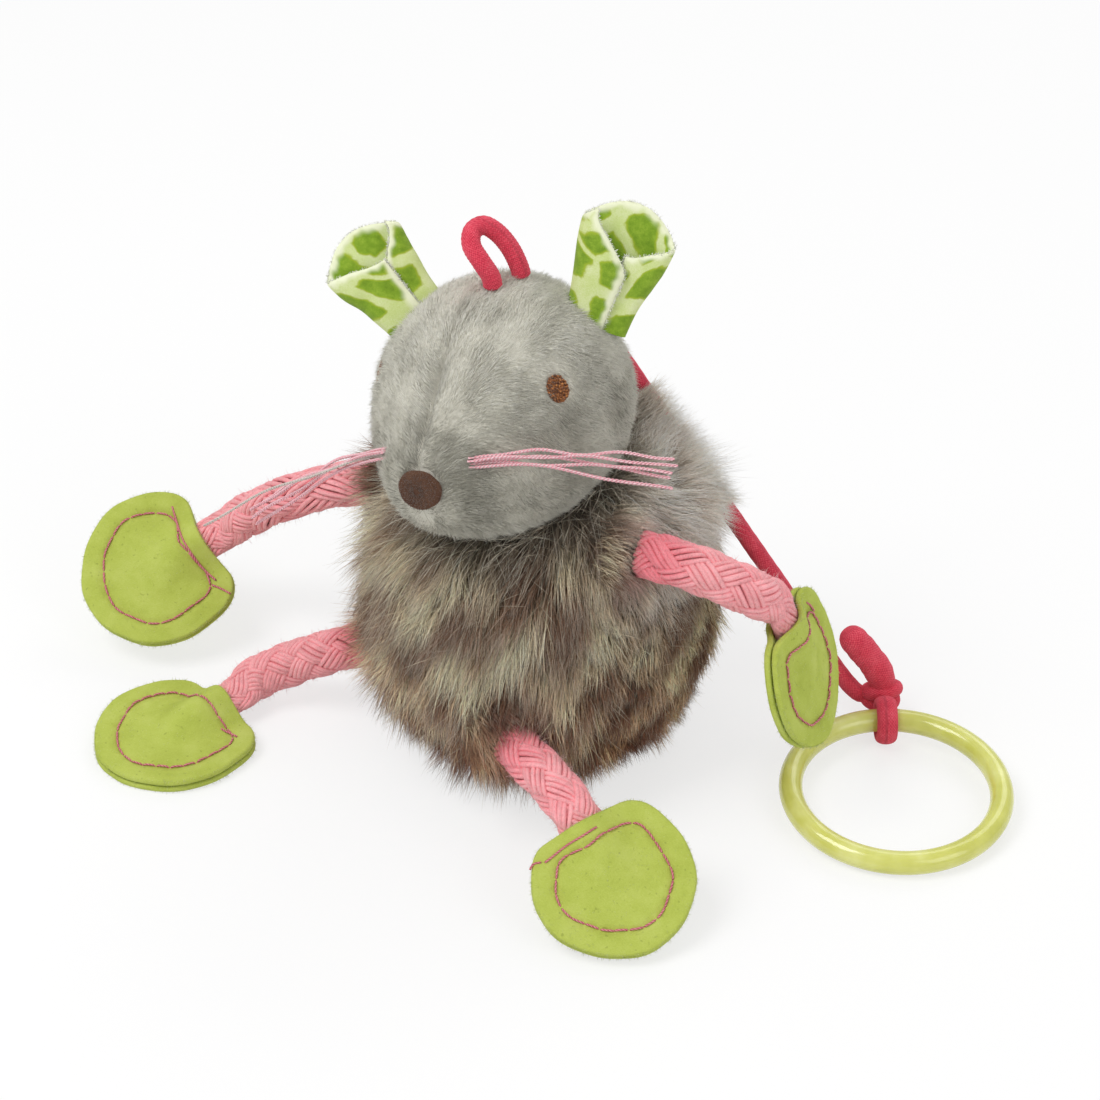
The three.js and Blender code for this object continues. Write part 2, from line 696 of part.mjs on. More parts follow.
for (const [name, limb] of Object.entries(limbs)) {
  piece(mouse, name, limbShape(limb), "braid");
  const { outward, normal, across } = frameOf(limb);
  const paw = new THREE.Group();
  paw.position.set(...limb.hinge);
  paw.quaternion.setFromRotationMatrix(new THREE.Matrix4().makeBasis(outward, across, normal));
  mouse.add(paw);
  piece(paw, `${name}_paw_top`, pawLayer(limb, 1), "greenFelt");
  piece(paw, `${name}_paw_back`, pawLayer(limb, -1), "greenFelt");
  piece(paw, `${name}_paw_stitching`, pawStitching(limb), "pinkThread");
}

piece(mouse, "elastic_main", elasticMain(), "elastic");
piece(mouse, "elastic_tail", elasticTail(), "elastic");
piece(mouse, "elastic_knot", closed(knotGeometry(0)), "elastic");
piece(mouse, "ring_loop", ringLoop(), "elastic");
piece(mouse, "finger_ring", fingerRing(), "ringPlastic");

export default mouse;
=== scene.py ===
"""The looks of a stuffed mouse dangler: plush head, furry body, braided limbs, felt paws, ring on a cord.

Lengths are in millimetres, and become metres where a piece is made. The mouse faces -Y and sits on Z = 0.
"""
import math
import bpy
import numpy as np
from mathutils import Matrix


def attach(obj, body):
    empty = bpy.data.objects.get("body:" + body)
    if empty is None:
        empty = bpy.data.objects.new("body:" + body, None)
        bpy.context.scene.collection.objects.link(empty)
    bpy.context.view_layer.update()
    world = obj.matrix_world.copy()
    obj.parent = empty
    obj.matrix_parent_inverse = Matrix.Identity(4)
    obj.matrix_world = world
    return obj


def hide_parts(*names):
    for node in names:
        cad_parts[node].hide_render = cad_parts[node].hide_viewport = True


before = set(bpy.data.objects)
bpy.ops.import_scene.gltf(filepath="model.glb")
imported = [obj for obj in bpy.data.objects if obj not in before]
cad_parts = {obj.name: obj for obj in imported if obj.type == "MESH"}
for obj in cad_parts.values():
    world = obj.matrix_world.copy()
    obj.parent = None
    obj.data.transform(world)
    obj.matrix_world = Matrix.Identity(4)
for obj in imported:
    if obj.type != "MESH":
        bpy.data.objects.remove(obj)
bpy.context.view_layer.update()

MILLIMETRE = 0.001
GOLDEN_TURN = 2.399963


# ---- Camera: 100 mm lens, 25 degrees to the mouse's left and 34.5 degrees up
camera_side = 25
camera_rise = 34.5
camera_place = (0.2097, -0.4489, 0.3819)


def studio_camera():
    """A camera that looks down at the mouse from its left front."""
    data = bpy.data.cameras.new("studio_camera")
    data.lens = 100
    data.sensor_width = 36
    data.clip_start = 0.01
    camera = bpy.data.objects.new("studio_camera", data)
    camera.location = camera_place
    camera.rotation_euler = (math.radians(90 - camera_rise), 0, math.radians(camera_side))
    bpy.context.scene.collection.objects.link(camera)
    bpy.context.scene.camera = camera


studio_camera()


# ---- Small sums
def unit(v):
    """Each vector divided by its own length."""
    v = np.asarray(v, float)
    return v / np.maximum(np.linalg.norm(v, axis=-1, keepdims=True), 1e-12)


def smooth(t):
    """Three t squared less two t cubed, with t held between 0 and 1."""
    t = np.clip(t, 0, 1)
    return t * t * (3 - 2 * t)


def mixed(a, b, share):
    """One part a and one part b, by share."""
    return a + (b - a) * share


def shade(code):
    """A web colour as linear light."""
    tone = np.array([int(code[i:i + 2], 16) for i in (1, 3, 5)]) / 255
    return np.where(tone <= 0.04045, tone / 12.92, ((tone + 0.055) / 1.055) ** 2.4)


def mottle(points, size, seed):
    """A soft random pattern from -1 to 1: a sum of sine waves about one size long, in random directions."""
    draw = np.random.default_rng(seed)
    waves = 9
    total = 0
    for _ in range(waves):
        way = unit(draw.normal(size=3)) * 2 * math.pi / (size * draw.uniform(0.7, 1.6))
        total = total + np.sin(points @ way + draw.uniform(0, 2 * math.pi))
    return np.clip(total / math.sqrt(waves) / 1.2, -1, 1)


def turned(points, spin, base):
    """Points of a turned frame, in the frame round it: the turn first, then the place."""
    return np.asarray(points, float) @ spin.T + np.asarray(base, float)


def circle(count):
    """Even angles round a whole turn, from 0."""
    return np.linspace(0, 2 * math.pi, count, endpoint=False)


def sides_of(forward, aside):
    """Two ways at right angles to each forward way: across, which is so to aside as well, and up."""
    across = unit(np.cross(forward, aside))
    return across, np.cross(across, forward)


def all_round(angle, across, up):
    """The ways at each angle round a line: cosine times across plus sine times up."""
    return np.cos(angle)[:, None] * across[..., None, :] + np.sin(angle)[:, None] * up[..., None, :]


def run_of(line):
    """The length along a line at each of its points."""
    return np.concatenate([[0], np.cumsum(np.linalg.norm(np.diff(line, axis=0), axis=1))])


def evenly(line, count):
    """A number of points at even lengths along a line."""
    run = run_of(line)
    even = np.linspace(0, run[-1], count)
    return np.stack([np.interp(even, run, line[:, i]) for i in range(line.shape[1])], 1)


def route(knots, step):
    """A centripetal Catmull-Rom line through the knots, at evenly spaced places about a step apart."""
    k = np.asarray(knots, float)
    k = np.vstack([2 * k[0] - k[1], k, 2 * k[-1] - k[-2]])
    gap = np.sqrt(np.linalg.norm(np.diff(k, axis=0), axis=1))[:, None]
    line = []
    t = np.linspace(0, 1, 33)[:, None]
    for i in range(1, len(k) - 2):
        a, b, c, d = k[i - 1:i + 3]
        ga, gb, gc = gap[i - 1], gap[i], gap[i + 1]
        start = ((b - a) / ga - (c - a) / (ga + gb) + (c - b) / gb) * gb
        end = ((c - b) / gb - (d - b) / (gb + gc) + (d - c) / gc) * gb
        line.append(b + start * t + (3 * (c - b) - 2 * start - end) * t ** 2
                    + (2 * (b - c) + start + end) * t ** 3)
    line = np.vstack([part[:-1] for part in line] + [k[-2][None]])
    return evenly(line, max(int(round(run_of(line)[-1] / step)), 2) + 1)


# ---- Meshes
def piece(name, points, quads, tris, finish, body, uv=None, tint=None):
    """One mesh at the origin that faces outwards, with its finish, riding on its body."""
    points = np.asarray(points, float).reshape(-1, 3)
    quads = np.asarray(quads, int).reshape(-1, 4)
    tris = np.asarray(tris, int).reshape(-1, 3)
    flaps = np.vstack([quads[:, :3], quads[:, [0, 2, 3]], tris])
    a, b, c = (points[flaps[:, i]] - points.mean(0) for i in range(3))
    if np.einsum("ij,ij->i", a, np.cross(b, c)).sum() < 0:
        quads, tris = quads[:, ::-1], tris[:, ::-1]
    mesh = bpy.data.meshes.new(name)
    corners = np.concatenate([quads.ravel(), tris.ravel()]).astype(np.int32)
    starts = np.concatenate([np.arange(len(quads)) * 4, len(quads) * 4 + np.arange(len(tris)) * 3])
    mesh.vertices.add(len(points))
    mesh.vertices.foreach_set("co", (points * MILLIMETRE).astype(np.float32).ravel())
    mesh.loops.add(len(corners))
    mesh.loops.foreach_set("vertex_index", corners)
    mesh.polygons.add(len(starts))
    mesh.polygons.foreach_set("loop_start", starts.astype(np.int32))
    mesh.polygons.foreach_set("use_smooth", np.ones(len(starts), bool))
    if uv is not None:
        layer = mesh.uv_layers.new(name="surface")
        layer.data.foreach_set("uv", np.asarray(uv, float).reshape(-1, 2)[corners].astype(np.float32).ravel())
    if tint is not None:
        colour = mesh.attributes.new("tint", "FLOAT_COLOR", "POINT")
        rgba = np.ones((len(points), 4), np.float32)
        rgba[:, :3] = np.clip(np.asarray(tint).reshape(-1, 3), 0, 1)
        colour.data.foreach_set("color", rgba.ravel())
    mesh.update(calc_edges=True)
    mesh.validate()
    mesh.materials.append(finish)
    made = bpy.data.objects.new(name, mesh)
    bpy.context.scene.collection.objects.link(made)
    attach(made, body)
    return made


def web(rows, columns, round_rows=False, round_columns=False):
    """The quads of a grid of rows and columns, which may close on itself either way."""
    r = np.arange(rows if round_rows else rows - 1)[:, None]
    c = np.arange(columns if round_columns else columns - 1)[None]
    here, ahead = r * columns, ((r + 1) % rows) * columns
    beside = (c + 1) % columns
    return np.stack(np.broadcast_arrays(here + c, here + beside, ahead + beside, ahead + c), -1).reshape(-1, 4)


def end_fans(rows, columns):
    """The triangles from a closed grid's first and last rows to two points that follow its own."""
    here = np.arange(columns)
    beside = (here + 1) % columns
    last = (rows - 1) * columns
    start = np.stack([np.full(columns, rows * columns), beside, here], 1)
    end = np.stack([np.full(columns, rows * columns + 1), last + here, last + beside], 1)
    return np.vstack([start, end])


def walled(rows, columns):
    """The quads of two like grids, face and back, joined round their rim; and the rim's own places."""
    size = rows * columns
    rim = np.concatenate([np.arange(columns), np.arange(1, rows) * columns + columns - 1,
                          (rows - 1) * columns + np.arange(columns - 2, -1, -1),
                          np.arange(rows - 2, 0, -1) * columns])
    ahead = np.roll(rim, -1)
    face = web(rows, columns)
    edge = np.stack([rim, rim + size, ahead + size, ahead], 1)
    return np.vstack([face, face[:, ::-1] + size, edge]), rim


def tubes(lines, radius, aside, sides):
    """Closed tubes along many lines at once: a ring of sides round each point, and a point at each end.

    A ring point is the line's point plus radius times (cosine times across plus sine times up), where
    across is at right angles to the line and to aside. Returns points, quads, triangles and a UV of
    (share round, millimetres along).
    """
    lines = np.asarray(lines, float)
    many, steps = lines.shape[:2]
    across, up = sides_of(unit(np.gradient(lines, axis=1)), aside)
    radius = np.broadcast_to(np.asarray(radius, float), (many, steps))[:, :, None, None]
    rings = lines[:, :, None] + radius * all_round(circle(sides), across, up)
    run = np.concatenate([np.zeros((many, 1)),
                          np.cumsum(np.linalg.norm(np.diff(lines, axis=1), axis=2), axis=1)], 1)
    points = np.concatenate([rings.reshape(many, -1, 3), lines[:, :1], lines[:, -1:]], 1)
    around = np.broadcast_to(np.arange(sides) / sides, (many, steps, sides))
    along = np.broadcast_to(run[:, :, None], (many, steps, sides))
    uv = np.stack([around, along], -1).reshape(many, -1, 2)
    ends = np.stack([np.zeros((many, 2)), run[:, [0, -1]]], -1)
    uv = np.concatenate([uv, ends], 1)
    first = (np.arange(many) * (steps * sides + 2))[:, None, None]
    quads = (web(steps, sides, round_columns=True)[None] + first).reshape(-1, 4)
    tris = (end_fans(steps, sides)[None] + first).reshape(-1, 3)
    return points.reshape(-1, 3), quads, tris, uv.reshape(-1, 2)


def bulb(radius, count, ends=5):
    """A tube's radius along its line, rounded off like a ball over its first and last few points."""
    span = np.full(count, float(radius))
    fall = np.sqrt(1 - (1 - np.linspace(0.08, 1, ends)) ** 2)
    span[:ends] *= fall
    span[-ends:] *= fall[::-1]
    return span


def hairs(lines, width, tint, seed):
    """Tapered three-sided hairs, each closed at its root and pointed at its tip.

    lines is hairs by points by 3, width is each hair's half width at its root, tint is its colour at each
    point. A ring stands at every point but the last, and narrows towards the tip.
    """
    many, steps = lines.shape[:2]
    draw = np.random.default_rng(seed)
    aside = unit(draw.normal(size=(many, 1, 3)))
    across, up = sides_of(unit(np.gradient(lines, axis=1))[:, :-1], aside)
    thin = np.linspace(1, 0.6, steps - 1)[None, :, None, None]
    span = np.asarray(width, float).reshape(-1, 1, 1, 1) * thin
    rings = lines[:, :-1, None] + span * all_round(circle(3), across, up)
    points = np.concatenate([rings.reshape(many, -1, 3), lines[:, -1:]], 1)
    colour = np.concatenate([np.repeat(tint[:, :-1], 3, axis=1), tint[:, -1:]], 1)
    size = (steps - 1) * 3 + 1
    first = (np.arange(many) * size)[:, None, None]
    quads = (web(steps - 1, 3, round_columns=True)[None] + first).reshape(-1, 4)
    last = (steps - 2) * 3
    c = np.arange(3)
    tip = np.stack([np.full(3, size - 1), last + c, last + (c + 1) % 3], 1)
    tris = (np.vstack([[[2, 1, 0]], tip])[None] + first).reshape(-1, 3)
    return points.reshape(-1, 3), quads, tris, colour.reshape(-1, 3)


def rounded_grid(grid):
    """A grid closed round its columns, with a point put at the middle of its first and last row."""
    rows, columns = grid.shape[:2]
    points = np.vstack([grid.reshape(-1, 3), grid[0].mean(0), grid[-1].mean(0)])
    return points, web(rows, columns, round_columns=True), end_fans(rows, columns)


def disc_rows(start, rows, rim_rows, tilt):
    """A disc's rows from face to back: each one's share of the way out, and its angle round the rim."""
    share = np.concatenate([np.linspace(start, 1, rows), np.ones(rim_rows), np.linspace(1, start, rows)])
    bend = np.concatenate([np.full(rows, 90), np.linspace(tilt, -tilt, rim_rows), np.full(rows, -90)])
    return share[:, None], np.radians(bend)[:, None]


def fuzz(name, lines, width, dark, light, draw, seed, body):
    """Short straight fibres, each in a shade of its own between two web colours."""
    count = len(lines)
    tone = mixed(shade(dark), shade(light), draw.uniform(0, 1, (count, 1, 1)))
    p, q, t, tint = hairs(lines, np.full(count, width), np.broadcast_to(tone, (count, 2, 3)), seed)
    piece(name, p, q, t, fuzz_hair, body, tint=tint)


def joined(parts):
    """Several sets of points, quads, triangles and UV as one."""
    points, quads, tris, uvs = zip(*parts)
    first = np.cumsum([0] + [len(p) for p in points])
    quads = [np.asarray(q, int).reshape(-1, 4) + f for q, f in zip(quads, first)]
    tris = [np.asarray(t, int).reshape(-1, 3) + f for t, f in zip(tris, first)]
    return np.vstack(points), np.vstack(quads), np.vstack(tris), np.vstack(uvs)


# ---- Finishes
def add_node(tree, kind, inputs=(), **settings):
    """A new node with its settings; each input is linked to a socket or set to a value."""
    made = tree.nodes.new(kind)
    for key, value in settings.items():
        setattr(made, key, value)
    for key, value in dict(inputs).items():
        if isinstance(value, bpy.types.NodeSocket):
            tree.links.new(value, made.inputs[key])
        else:
            made.inputs[key].default_value = value
    return made


class Finish:
    """A material's nodes, added one by one. Patterns are in metres of Object coordinates, or in the UV."""

    def __init__(self, name, roughness, specular=0.25, sheen=0.0, sheen_tint="#FFFFFF", coat=0.0):
        self.material = bpy.data.materials.new(name)
        self.material.use_nodes = True
        self.tree = self.material.node_tree
        self.shader = self.tree.nodes["Principled BSDF"]
        for socket, value in (("Roughness", roughness), ("Specular IOR Level", specular),
                              ("Sheen Weight", sheen), ("Sheen Roughness", 0.55), ("Coat Weight", coat),
                              ("Coat Roughness", 0.12)):
            self.shader.inputs[socket].default_value = value
        self.shader.inputs["Sheen Tint"].default_value = (*shade(sheen_tint), 1)
        place = self.tree.nodes.new("ShaderNodeTexCoord")
        self.place = place.outputs["Object"]
        self.uv = place.outputs["UV"]

    def node(self, kind, inputs=(), **settings):
        return add_node(self.tree, kind, inputs, **settings)

    def noise(self, size, detail=3.0, vector=None):
        """Noise whose lumps are about one size across, in millimetres."""
        inputs = {"Scale": 1 / (size * MILLIMETRE), "Detail": detail, "Roughness": 0.55,
                  "Vector": vector if vector is not None else self.place}
        return self.node("ShaderNodeTexNoise", inputs).outputs["Fac"]

    def ramp(self, value, *stops):
        """A colour for each level of a value: stops are (level, web colour)."""
        made = self.node("ShaderNodeValToRGB", {"Fac": value})
        marks = made.color_ramp.elements
        while len(marks) < len(stops):
            marks.new(0.5)
        for mark, (level, code) in zip(marks, stops):
            mark.position = level
            mark.color = (*shade(code), 1)
        return made.outputs["Color"]

    def sum(self, kind, a, b=0.0, c=0.0):
        return self.node("ShaderNodeMath", {0: a, 1: b, 2: c}, operation=kind).outputs[0]

    def weighed(self, *parts):
        """The sum of several values, each times its own weight."""
        total = None
        for value, weight in parts:
            part = self.sum("MULTIPLY", value, weight)
            total = part if total is None else self.sum("ADD", total, part)
        return total

    def blended(self, share, a, b, way="MIX"):
        made = self.node("ShaderNodeMix", data_type="RGBA", blend_type=way)
        for socket, value in ((0, share), (6, a), (7, b)):
            if isinstance(value, bpy.types.NodeSocket):
                self.tree.links.new(value, made.inputs[socket])
            elif socket == 0:
                made.inputs[socket].default_value = value
            else:
                made.inputs[socket].default_value = (*shade(value), 1)
        return made.outputs[2]

    def tint(self):
        return self.node("ShaderNodeAttribute", attribute_name="tint").outputs["Color"]

    def colour(self, socket):
        self.tree.links.new(socket, self.shader.inputs["Base Color"])
        return self

    def rough(self, value, low, high):
        spread = self.node("ShaderNodeMapRange", {"Value": value, "To Min": low, "To Max": high})
        self.tree.links.new(spread.outputs[0], self.shader.inputs["Roughness"])
        return self

    def bump(self, height, strength, depth):
        """Raises the surface by a height of 0 to 1 over a depth in millimetres."""
        inputs = {"Height": height, "Strength": strength, "Distance": depth * MILLIMETRE}
        made = self.node("ShaderNodeBump", inputs)
        self.tree.links.new(made.outputs[0], self.shader.inputs["Normal"])
        return self


def fibres(finish, size, stretch, turns):
    """The mean of several noises drawn out one way each, like fibres that lie across one another."""
    layers = []
    for turn in turns:
        inputs = {"Vector": finish.place, "Scale": (1, stretch, 1), "Rotation": [math.radians(a) for a in turn]}
        drawn = finish.node("ShaderNodeMapping", inputs).outputs[0]
        layers.append((finish.noise(size, 2.0, drawn), 1 / len(turns)))
    return finish.weighed(*layers)


def hair_finish(name, roughness, size, sheen, sheen_tint):
    """Hair: its own root to tip colour, with small lighter and darker hairs among the rest."""
    f = Finish(name, roughness, specular=0.3, sheen=sheen, sheen_tint=sheen_tint)
    fleck = f.ramp(f.noise(size, 1.0), (0.3, "#E6E6E6"), (0.7, "#FFFFFF"))
    f.colour(f.blended(1.0, f.tint(), fleck, "MULTIPLY"))
    f.rough(f.noise(size * 3), roughness - 0.1, roughness + 0.1)
    return f.material


def skin_finish(name, dark, light, size):
    """The knit backing that hair grows from: a fine web with soft patches."""
    f = Finish(name, 0.95, sheen=0.2)
    weave = fibres(f, size, 5, ((0, 0, 30), (40, 0, -50), (0, 60, 10)))
    f.colour(f.ramp(f.weighed((weave, 0.6), (f.noise(7), 0.4)), (0.35, dark), (0.65, light)))
    f.bump(weave, 0.6, 0.3)
    return f.material


def felt_finish(name, dark, mid, light, mark):
    """Pressed felt: fibres every way, cloudy patches, and a few small dark specks."""
    f = Finish(name, 0.95, specular=0.15, sheen=0.25, sheen_tint=light)
    web_of_fibres = fibres(f, 0.35, 5, ((0, 0, 25), (30, 20, -40), (60, 0, 80), (10, 70, 130)))
    level = f.weighed((web_of_fibres, 0.65), (f.noise(6), 0.35))
    base = f.ramp(level, (0.36, dark), (0.5, mid), (0.64, light))
    speck = f.ramp(f.noise(0.9, 1.0), (0.69, "#000000"), (0.76, "#FFFFFF"))
    f.colour(f.blended(f.sum("MULTIPLY", speck, 0.45), base, mark))
    f.bump(f.sum("ADD", web_of_fibres, f.sum("MULTIPLY", f.noise(1.4), 0.5)), 0.7, 0.18)
    return f.material


def thread_finish(name, dark, mid, light, ply):
    """Twisted thread: slanting plies round the strand from its UV, painted darker between the plies as shade in
    their grooves, and fine fibres along it.
    """
    f = Finish(name, 0.85, sheen=0.2, sheen_tint=light)
    split = f.node("ShaderNodeSeparateXYZ", {0: f.uv}).outputs
    slant = f.weighed((split[0], 2.0), (split[1], 1 / ply))
    twist = f.sum("MULTIPLY_ADD", f.sum("SINE", f.sum("MULTIPLY", slant, 2 * math.pi)), 0.5, 0.5)
    drawn = f.noise(0.25, 2.0)
    # The twist both sinks the grooves in the bump and darkens them in colour: painted shade.
    level = f.weighed((twist, 0.4), (drawn, 0.35), (f.noise(3.5), 0.3))
    f.colour(f.ramp(level, (0.28, dark), (0.5, mid), (0.74, light)))
    f.bump(f.sum("ADD", twist, f.sum("MULTIPLY", drawn, 0.8)), 0.7, 0.14)
    return f.material


def yarn_finish():
    """Soft cotton yarn: its own tint, which holds painted shade between yarns, with fine streaks and a little
    nap.
    """
    f = Finish("braid_yarn", 0.9, specular=0.2, sheen=0.3, sheen_tint="#FFD0D4")
    streak = f.noise(0.3)
    soft = f.ramp(f.weighed((streak, 0.6), (f.noise(1.6), 0.4)), (0.3, "#DCD4D4"), (0.55, "#FFFFFF"))
    f.colour(f.blended(1.0, f.tint(), soft, "MULTIPLY"))
    f.bump(streak, 0.5, 0.12)
    return f.material


def flannel_finish():
    """Printed flannel: rounded blotches with soft edges on a pale ground, paler where it frays."""
    f = Finish("printed_flannel", 0.95, specular=0.12, sheen=0.35, sheen_tint="#F0F6C8")
    drift = f.node("ShaderNodeTexNoise", {"Scale": 0.3, "Detail": 1.0, "Vector": f.uv}).outputs["Color"]
    push = f.node("ShaderNodeVectorMath", {0: drift, "Scale": 2.2}, operation="SCALE").outputs[0]
    place = f.node("ShaderNodeVectorMath", {0: f.uv, 1: push}, operation="ADD").outputs[0]
    cell = {"Vector": place, "Scale": 0.118, "Randomness": 0.75}
    flat = {"voronoi_dimensions": "2D"}
    rim = f.node("ShaderNodeTexVoronoi", cell, feature="DISTANCE_TO_EDGE", **flat).outputs["Distance"]
    middle = f.node("ShaderNodeTexVoronoi", cell, feature="F1", **flat).outputs["Distance"]
    round_rim = f.sum("SUBTRACT", rim, f.sum("MULTIPLY", f.sum("MULTIPLY", middle, middle), 0.3))
    nap = fibres(f, 0.3, 4, ((0, 0, 20), (50, 0, -60), (0, 40, 100)))
    edge = f.sum("ADD", round_rim, f.sum("MULTIPLY_ADD", f.noise(0.8, 3), 0.08, -0.04))
    inside = f.node("ShaderNodeMapRange", {"Value": edge, "From Min": 0.03, "From Max": 0.1},
                    interpolation_type="SMOOTHSTEP").outputs[0]
    warm = f.node("ShaderNodeMapRange", {"Value": edge, "From Min": 0.06, "From Max": 0.17},
                  interpolation_type="SMOOTHSTEP").outputs[0]
    ground = f.ramp(f.weighed((nap, 0.6), (f.noise(4), 0.4)),
                    (0.35, "#C4D680"), (0.5, "#D3E09A"), (0.66, "#E6ECC2"))
    blotch = f.ramp(f.weighed((nap, 0.5), (f.noise(1.6), 0.5)),
                    (0.36, "#6C8F22"), (0.5, "#82A42C"), (0.66, "#9DBB3E"))
    blotch = f.blended(warm, "#A9BA38", blotch)
    f.colour(f.blended(f.tint(), f.blended(inside, ground, blotch), "#EFF3D2"))
    f.bump(nap, 0.8, 0.15)
    return f.material


def knit_cord_finish():
    """Elastic cord with a knitted sleeve: fine ribs round and along it, painted darker in their grooves as
    shade, under a soft nap.
    """
    f = Finish("elastic_sleeve", 0.82, specular=0.2, sheen=0.5, sheen_tint="#FF8FA0")
    split = f.node("ShaderNodeSeparateXYZ", {0: f.uv}).outputs
    ribs = f.sum("SINE", f.sum("MULTIPLY", split[1], 2 * math.pi / 0.55))
    rows = f.sum("SINE", f.sum("MULTIPLY", split[0], 2 * math.pi * 22))
    knit = f.sum("MULTIPLY_ADD", f.sum("MULTIPLY", ribs, rows), 0.5, 0.5)
    nap = f.noise(0.35)
    # The knit's grooves are painted darker: painted shade, from the same pattern that sinks them in the bump.
    level = f.weighed((knit, 0.25), (nap, 0.45), (f.noise(3), 0.3))
    f.colour(f.ramp(level, (0.3, "#BC2840"), (0.5, "#DE4256"), (0.7, "#F26A7A")))
    f.bump(f.sum("ADD", knit, nap), 0.6, 0.16)
    return f.material


def plastic_finish():
    """Moulded plastic with a gloss: faint clouds in the colour, and a very slightly uneven skin."""
    f = Finish("ring_plastic", 0.2, specular=0.5, coat=0.5)
    f.shader.inputs["Subsurface Weight"].default_value = 0.35
    f.shader.inputs["Subsurface Radius"].default_value = (0.004, 0.004, 0.002)
    f.shader.inputs["Subsurface Scale"].default_value = 0.6
    f.colour(f.ramp(f.noise(9), (0.35, "#C9CA62"), (0.5, "#D3D470"), (0.68, "#DFE08E")))
    f.rough(f.noise(2.5, 4), 0.13, 0.26)
    f.bump(f.noise(5, 2), 0.15, 0.12)
    return f.material


def filling_finish():
    """Loose white filling: crimped fibres with soft hollows, painted greyer in the hollows as shade."""
    f = Finish("filling", 1.0, specular=0.1, sheen=0.3)
    lie = fibres(f, 0.6, 6, ((0, 0, 15), (60, 20, -45), (20, 80, 95)))
    # The hollows of the bump are painted greyer: painted shade.
    f.colour(f.ramp(lie, (0.35, "#D8D5CB"), (0.65, "#F6F4EE")))
    f.bump(lie, 0.9, 0.6)
    return f.material


def eye_finish():
    """Brown embroidery thread whose lightest gold flecks are painted highlights."""
    f = Finish("eye_thread", 0.45, specular=0.5, sheen=0.2, sheen_tint="#D08A50")
    level = f.weighed((f.noise(0.35, 2), 0.7), (f.noise(0.12, 1), 0.3))
    # The gold top of the ramp is painted highlight.
    f.colour(f.ramp(level, (0.4, "#432412"), (0.52, "#7A451E"), (0.63, "#D08A48")))
    f.rough(f.noise(0.2), 0.3, 0.6)
    f.bump(f.noise(0.15), 0.6, 0.08)
    return f.material


fur_hair = hair_finish("fur_hair", 0.62, 0.8, 0.15, "#FFF0DC")
plush_hair = hair_finish("plush_hair", 0.8, 0.6, 0.6, "#FFFCEE")
fuzz_hair = hair_finish("fuzz_hair", 0.9, 0.5, 0.4, "#FFFFFF")
fur_skin = skin_finish("fur_backing", "#4A4239", "#6E6455", 0.5)
plush_skin = skin_finish("plush_backing", "#BFBCAF", "#DEDBCE", 0.35)
green_felt = felt_finish("green_felt", "#A3B048", "#B7C45A", "#C6D072", "#7F8A3C")
brown_felt = felt_finish("brown_felt", "#47302A", "#5A4032", "#6F5444", "#2E1E18")
pink_yarn = yarn_finish()
yarn_core = thread_finish("yarn_core", "#C4505F", "#D9707C", "#EA939B", 1.5)
pink_thread = thread_finish("stitch_thread", "#A8525F", "#D4757F", "#E69AA0", 0.7)
whisker_thread = thread_finish("whisker_thread", "#F09EAA", "#FDC2CA", "#FFE2E6", 0.9)
grey_thread = thread_finish("grey_thread", "#C6B9B0", "#DDD1C9", "#F0E8E2", 0.9)
elastic_sleeve = knit_cord_finish()
ring_plastic = plastic_finish()
flannel = flannel_finish()
filling = filling_finish()
eye_thread = eye_finish()


# ---- The elastic cord, its slack tail, its knot and the bight round the ring
elastic_route = [
    [5.6, 15.7, 82.3], [8, 16.4, 78.6], [13.3, 17.4, 70.7], [23.7, 19.7, 55], [34.1, 22, 39.3],
    [44.5, 24.3, 23.6], [52.4, 26.3, 10.8], [56.4, 27.6, 5.6], [58.6, 28.4, 4.4],
]
tail_route = [[61.2, 29.5, 5.6], [61.3, 29.5, 7.6], [60.1, 28.8, 11.6], [57.9, 27.7, 15.4], [55.4, 26.4, 19.2],
              [54.0, 25.7, 21.3]]
knot_place = np.array([61, 29.5, 5.2])
cord_radius = 1.75
tail_radius = 2.95
ring_centre = np.array([73.7, 3.4, 3.65])
ring_far = unit([-0.436, 0.9, 0])
ring_tangent = np.array([ring_far[1], -ring_far[0], 0])
ring_reach = 20.65
ring_lift = 2.6
ring_tilt = math.asin(ring_lift / (2 * ring_reach))
ring_tube = 2.35
ring_away = ring_far * math.cos(ring_tilt) + np.array([0, 0, math.sin(ring_tilt)])
ring_up = np.cross(ring_tangent, ring_away)
bight_place = ring_centre + ring_away * ring_reach


def cord_line():
    """The taut cord from the back of the head to its knot."""
    line = route(elastic_route, 0.8)
    run = run_of(line)
    wave = 1 + 0.012 * np.sin(run * 2.1) + 0.01 * np.sin(run * 0.83 + 1)
    p, q, t, uv = tubes([line], [bulb(cord_radius, len(line), 3) * wave], (0, 1, 0), 20)
    made = piece("elastic_cord", p, q, t, elastic_sleeve, "elastic", uv)
    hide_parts("elastic_main")
    return made, line


def cord_tail():
    """The slack end above the knot: narrow where the knot grips it, then plump, with a round end."""
    line = route(tail_route, 0.5)
    share = run_of(line) / run_of(line)[-1]
    radius = bulb(tail_radius, len(line), 7) * mixed(0.74, 1.0, smooth(share / 0.28))
    radius = radius * (1 + 0.02 * np.sin(share * 21) + 0.015 * np.sin(share * 47))
    p, q, t, uv = tubes([line], [radius], (0, 1, 0), 24)
    made = piece("elastic_free_end", p, q, t, elastic_sleeve, "elastic", uv)
    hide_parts("elastic_tail")
    return made


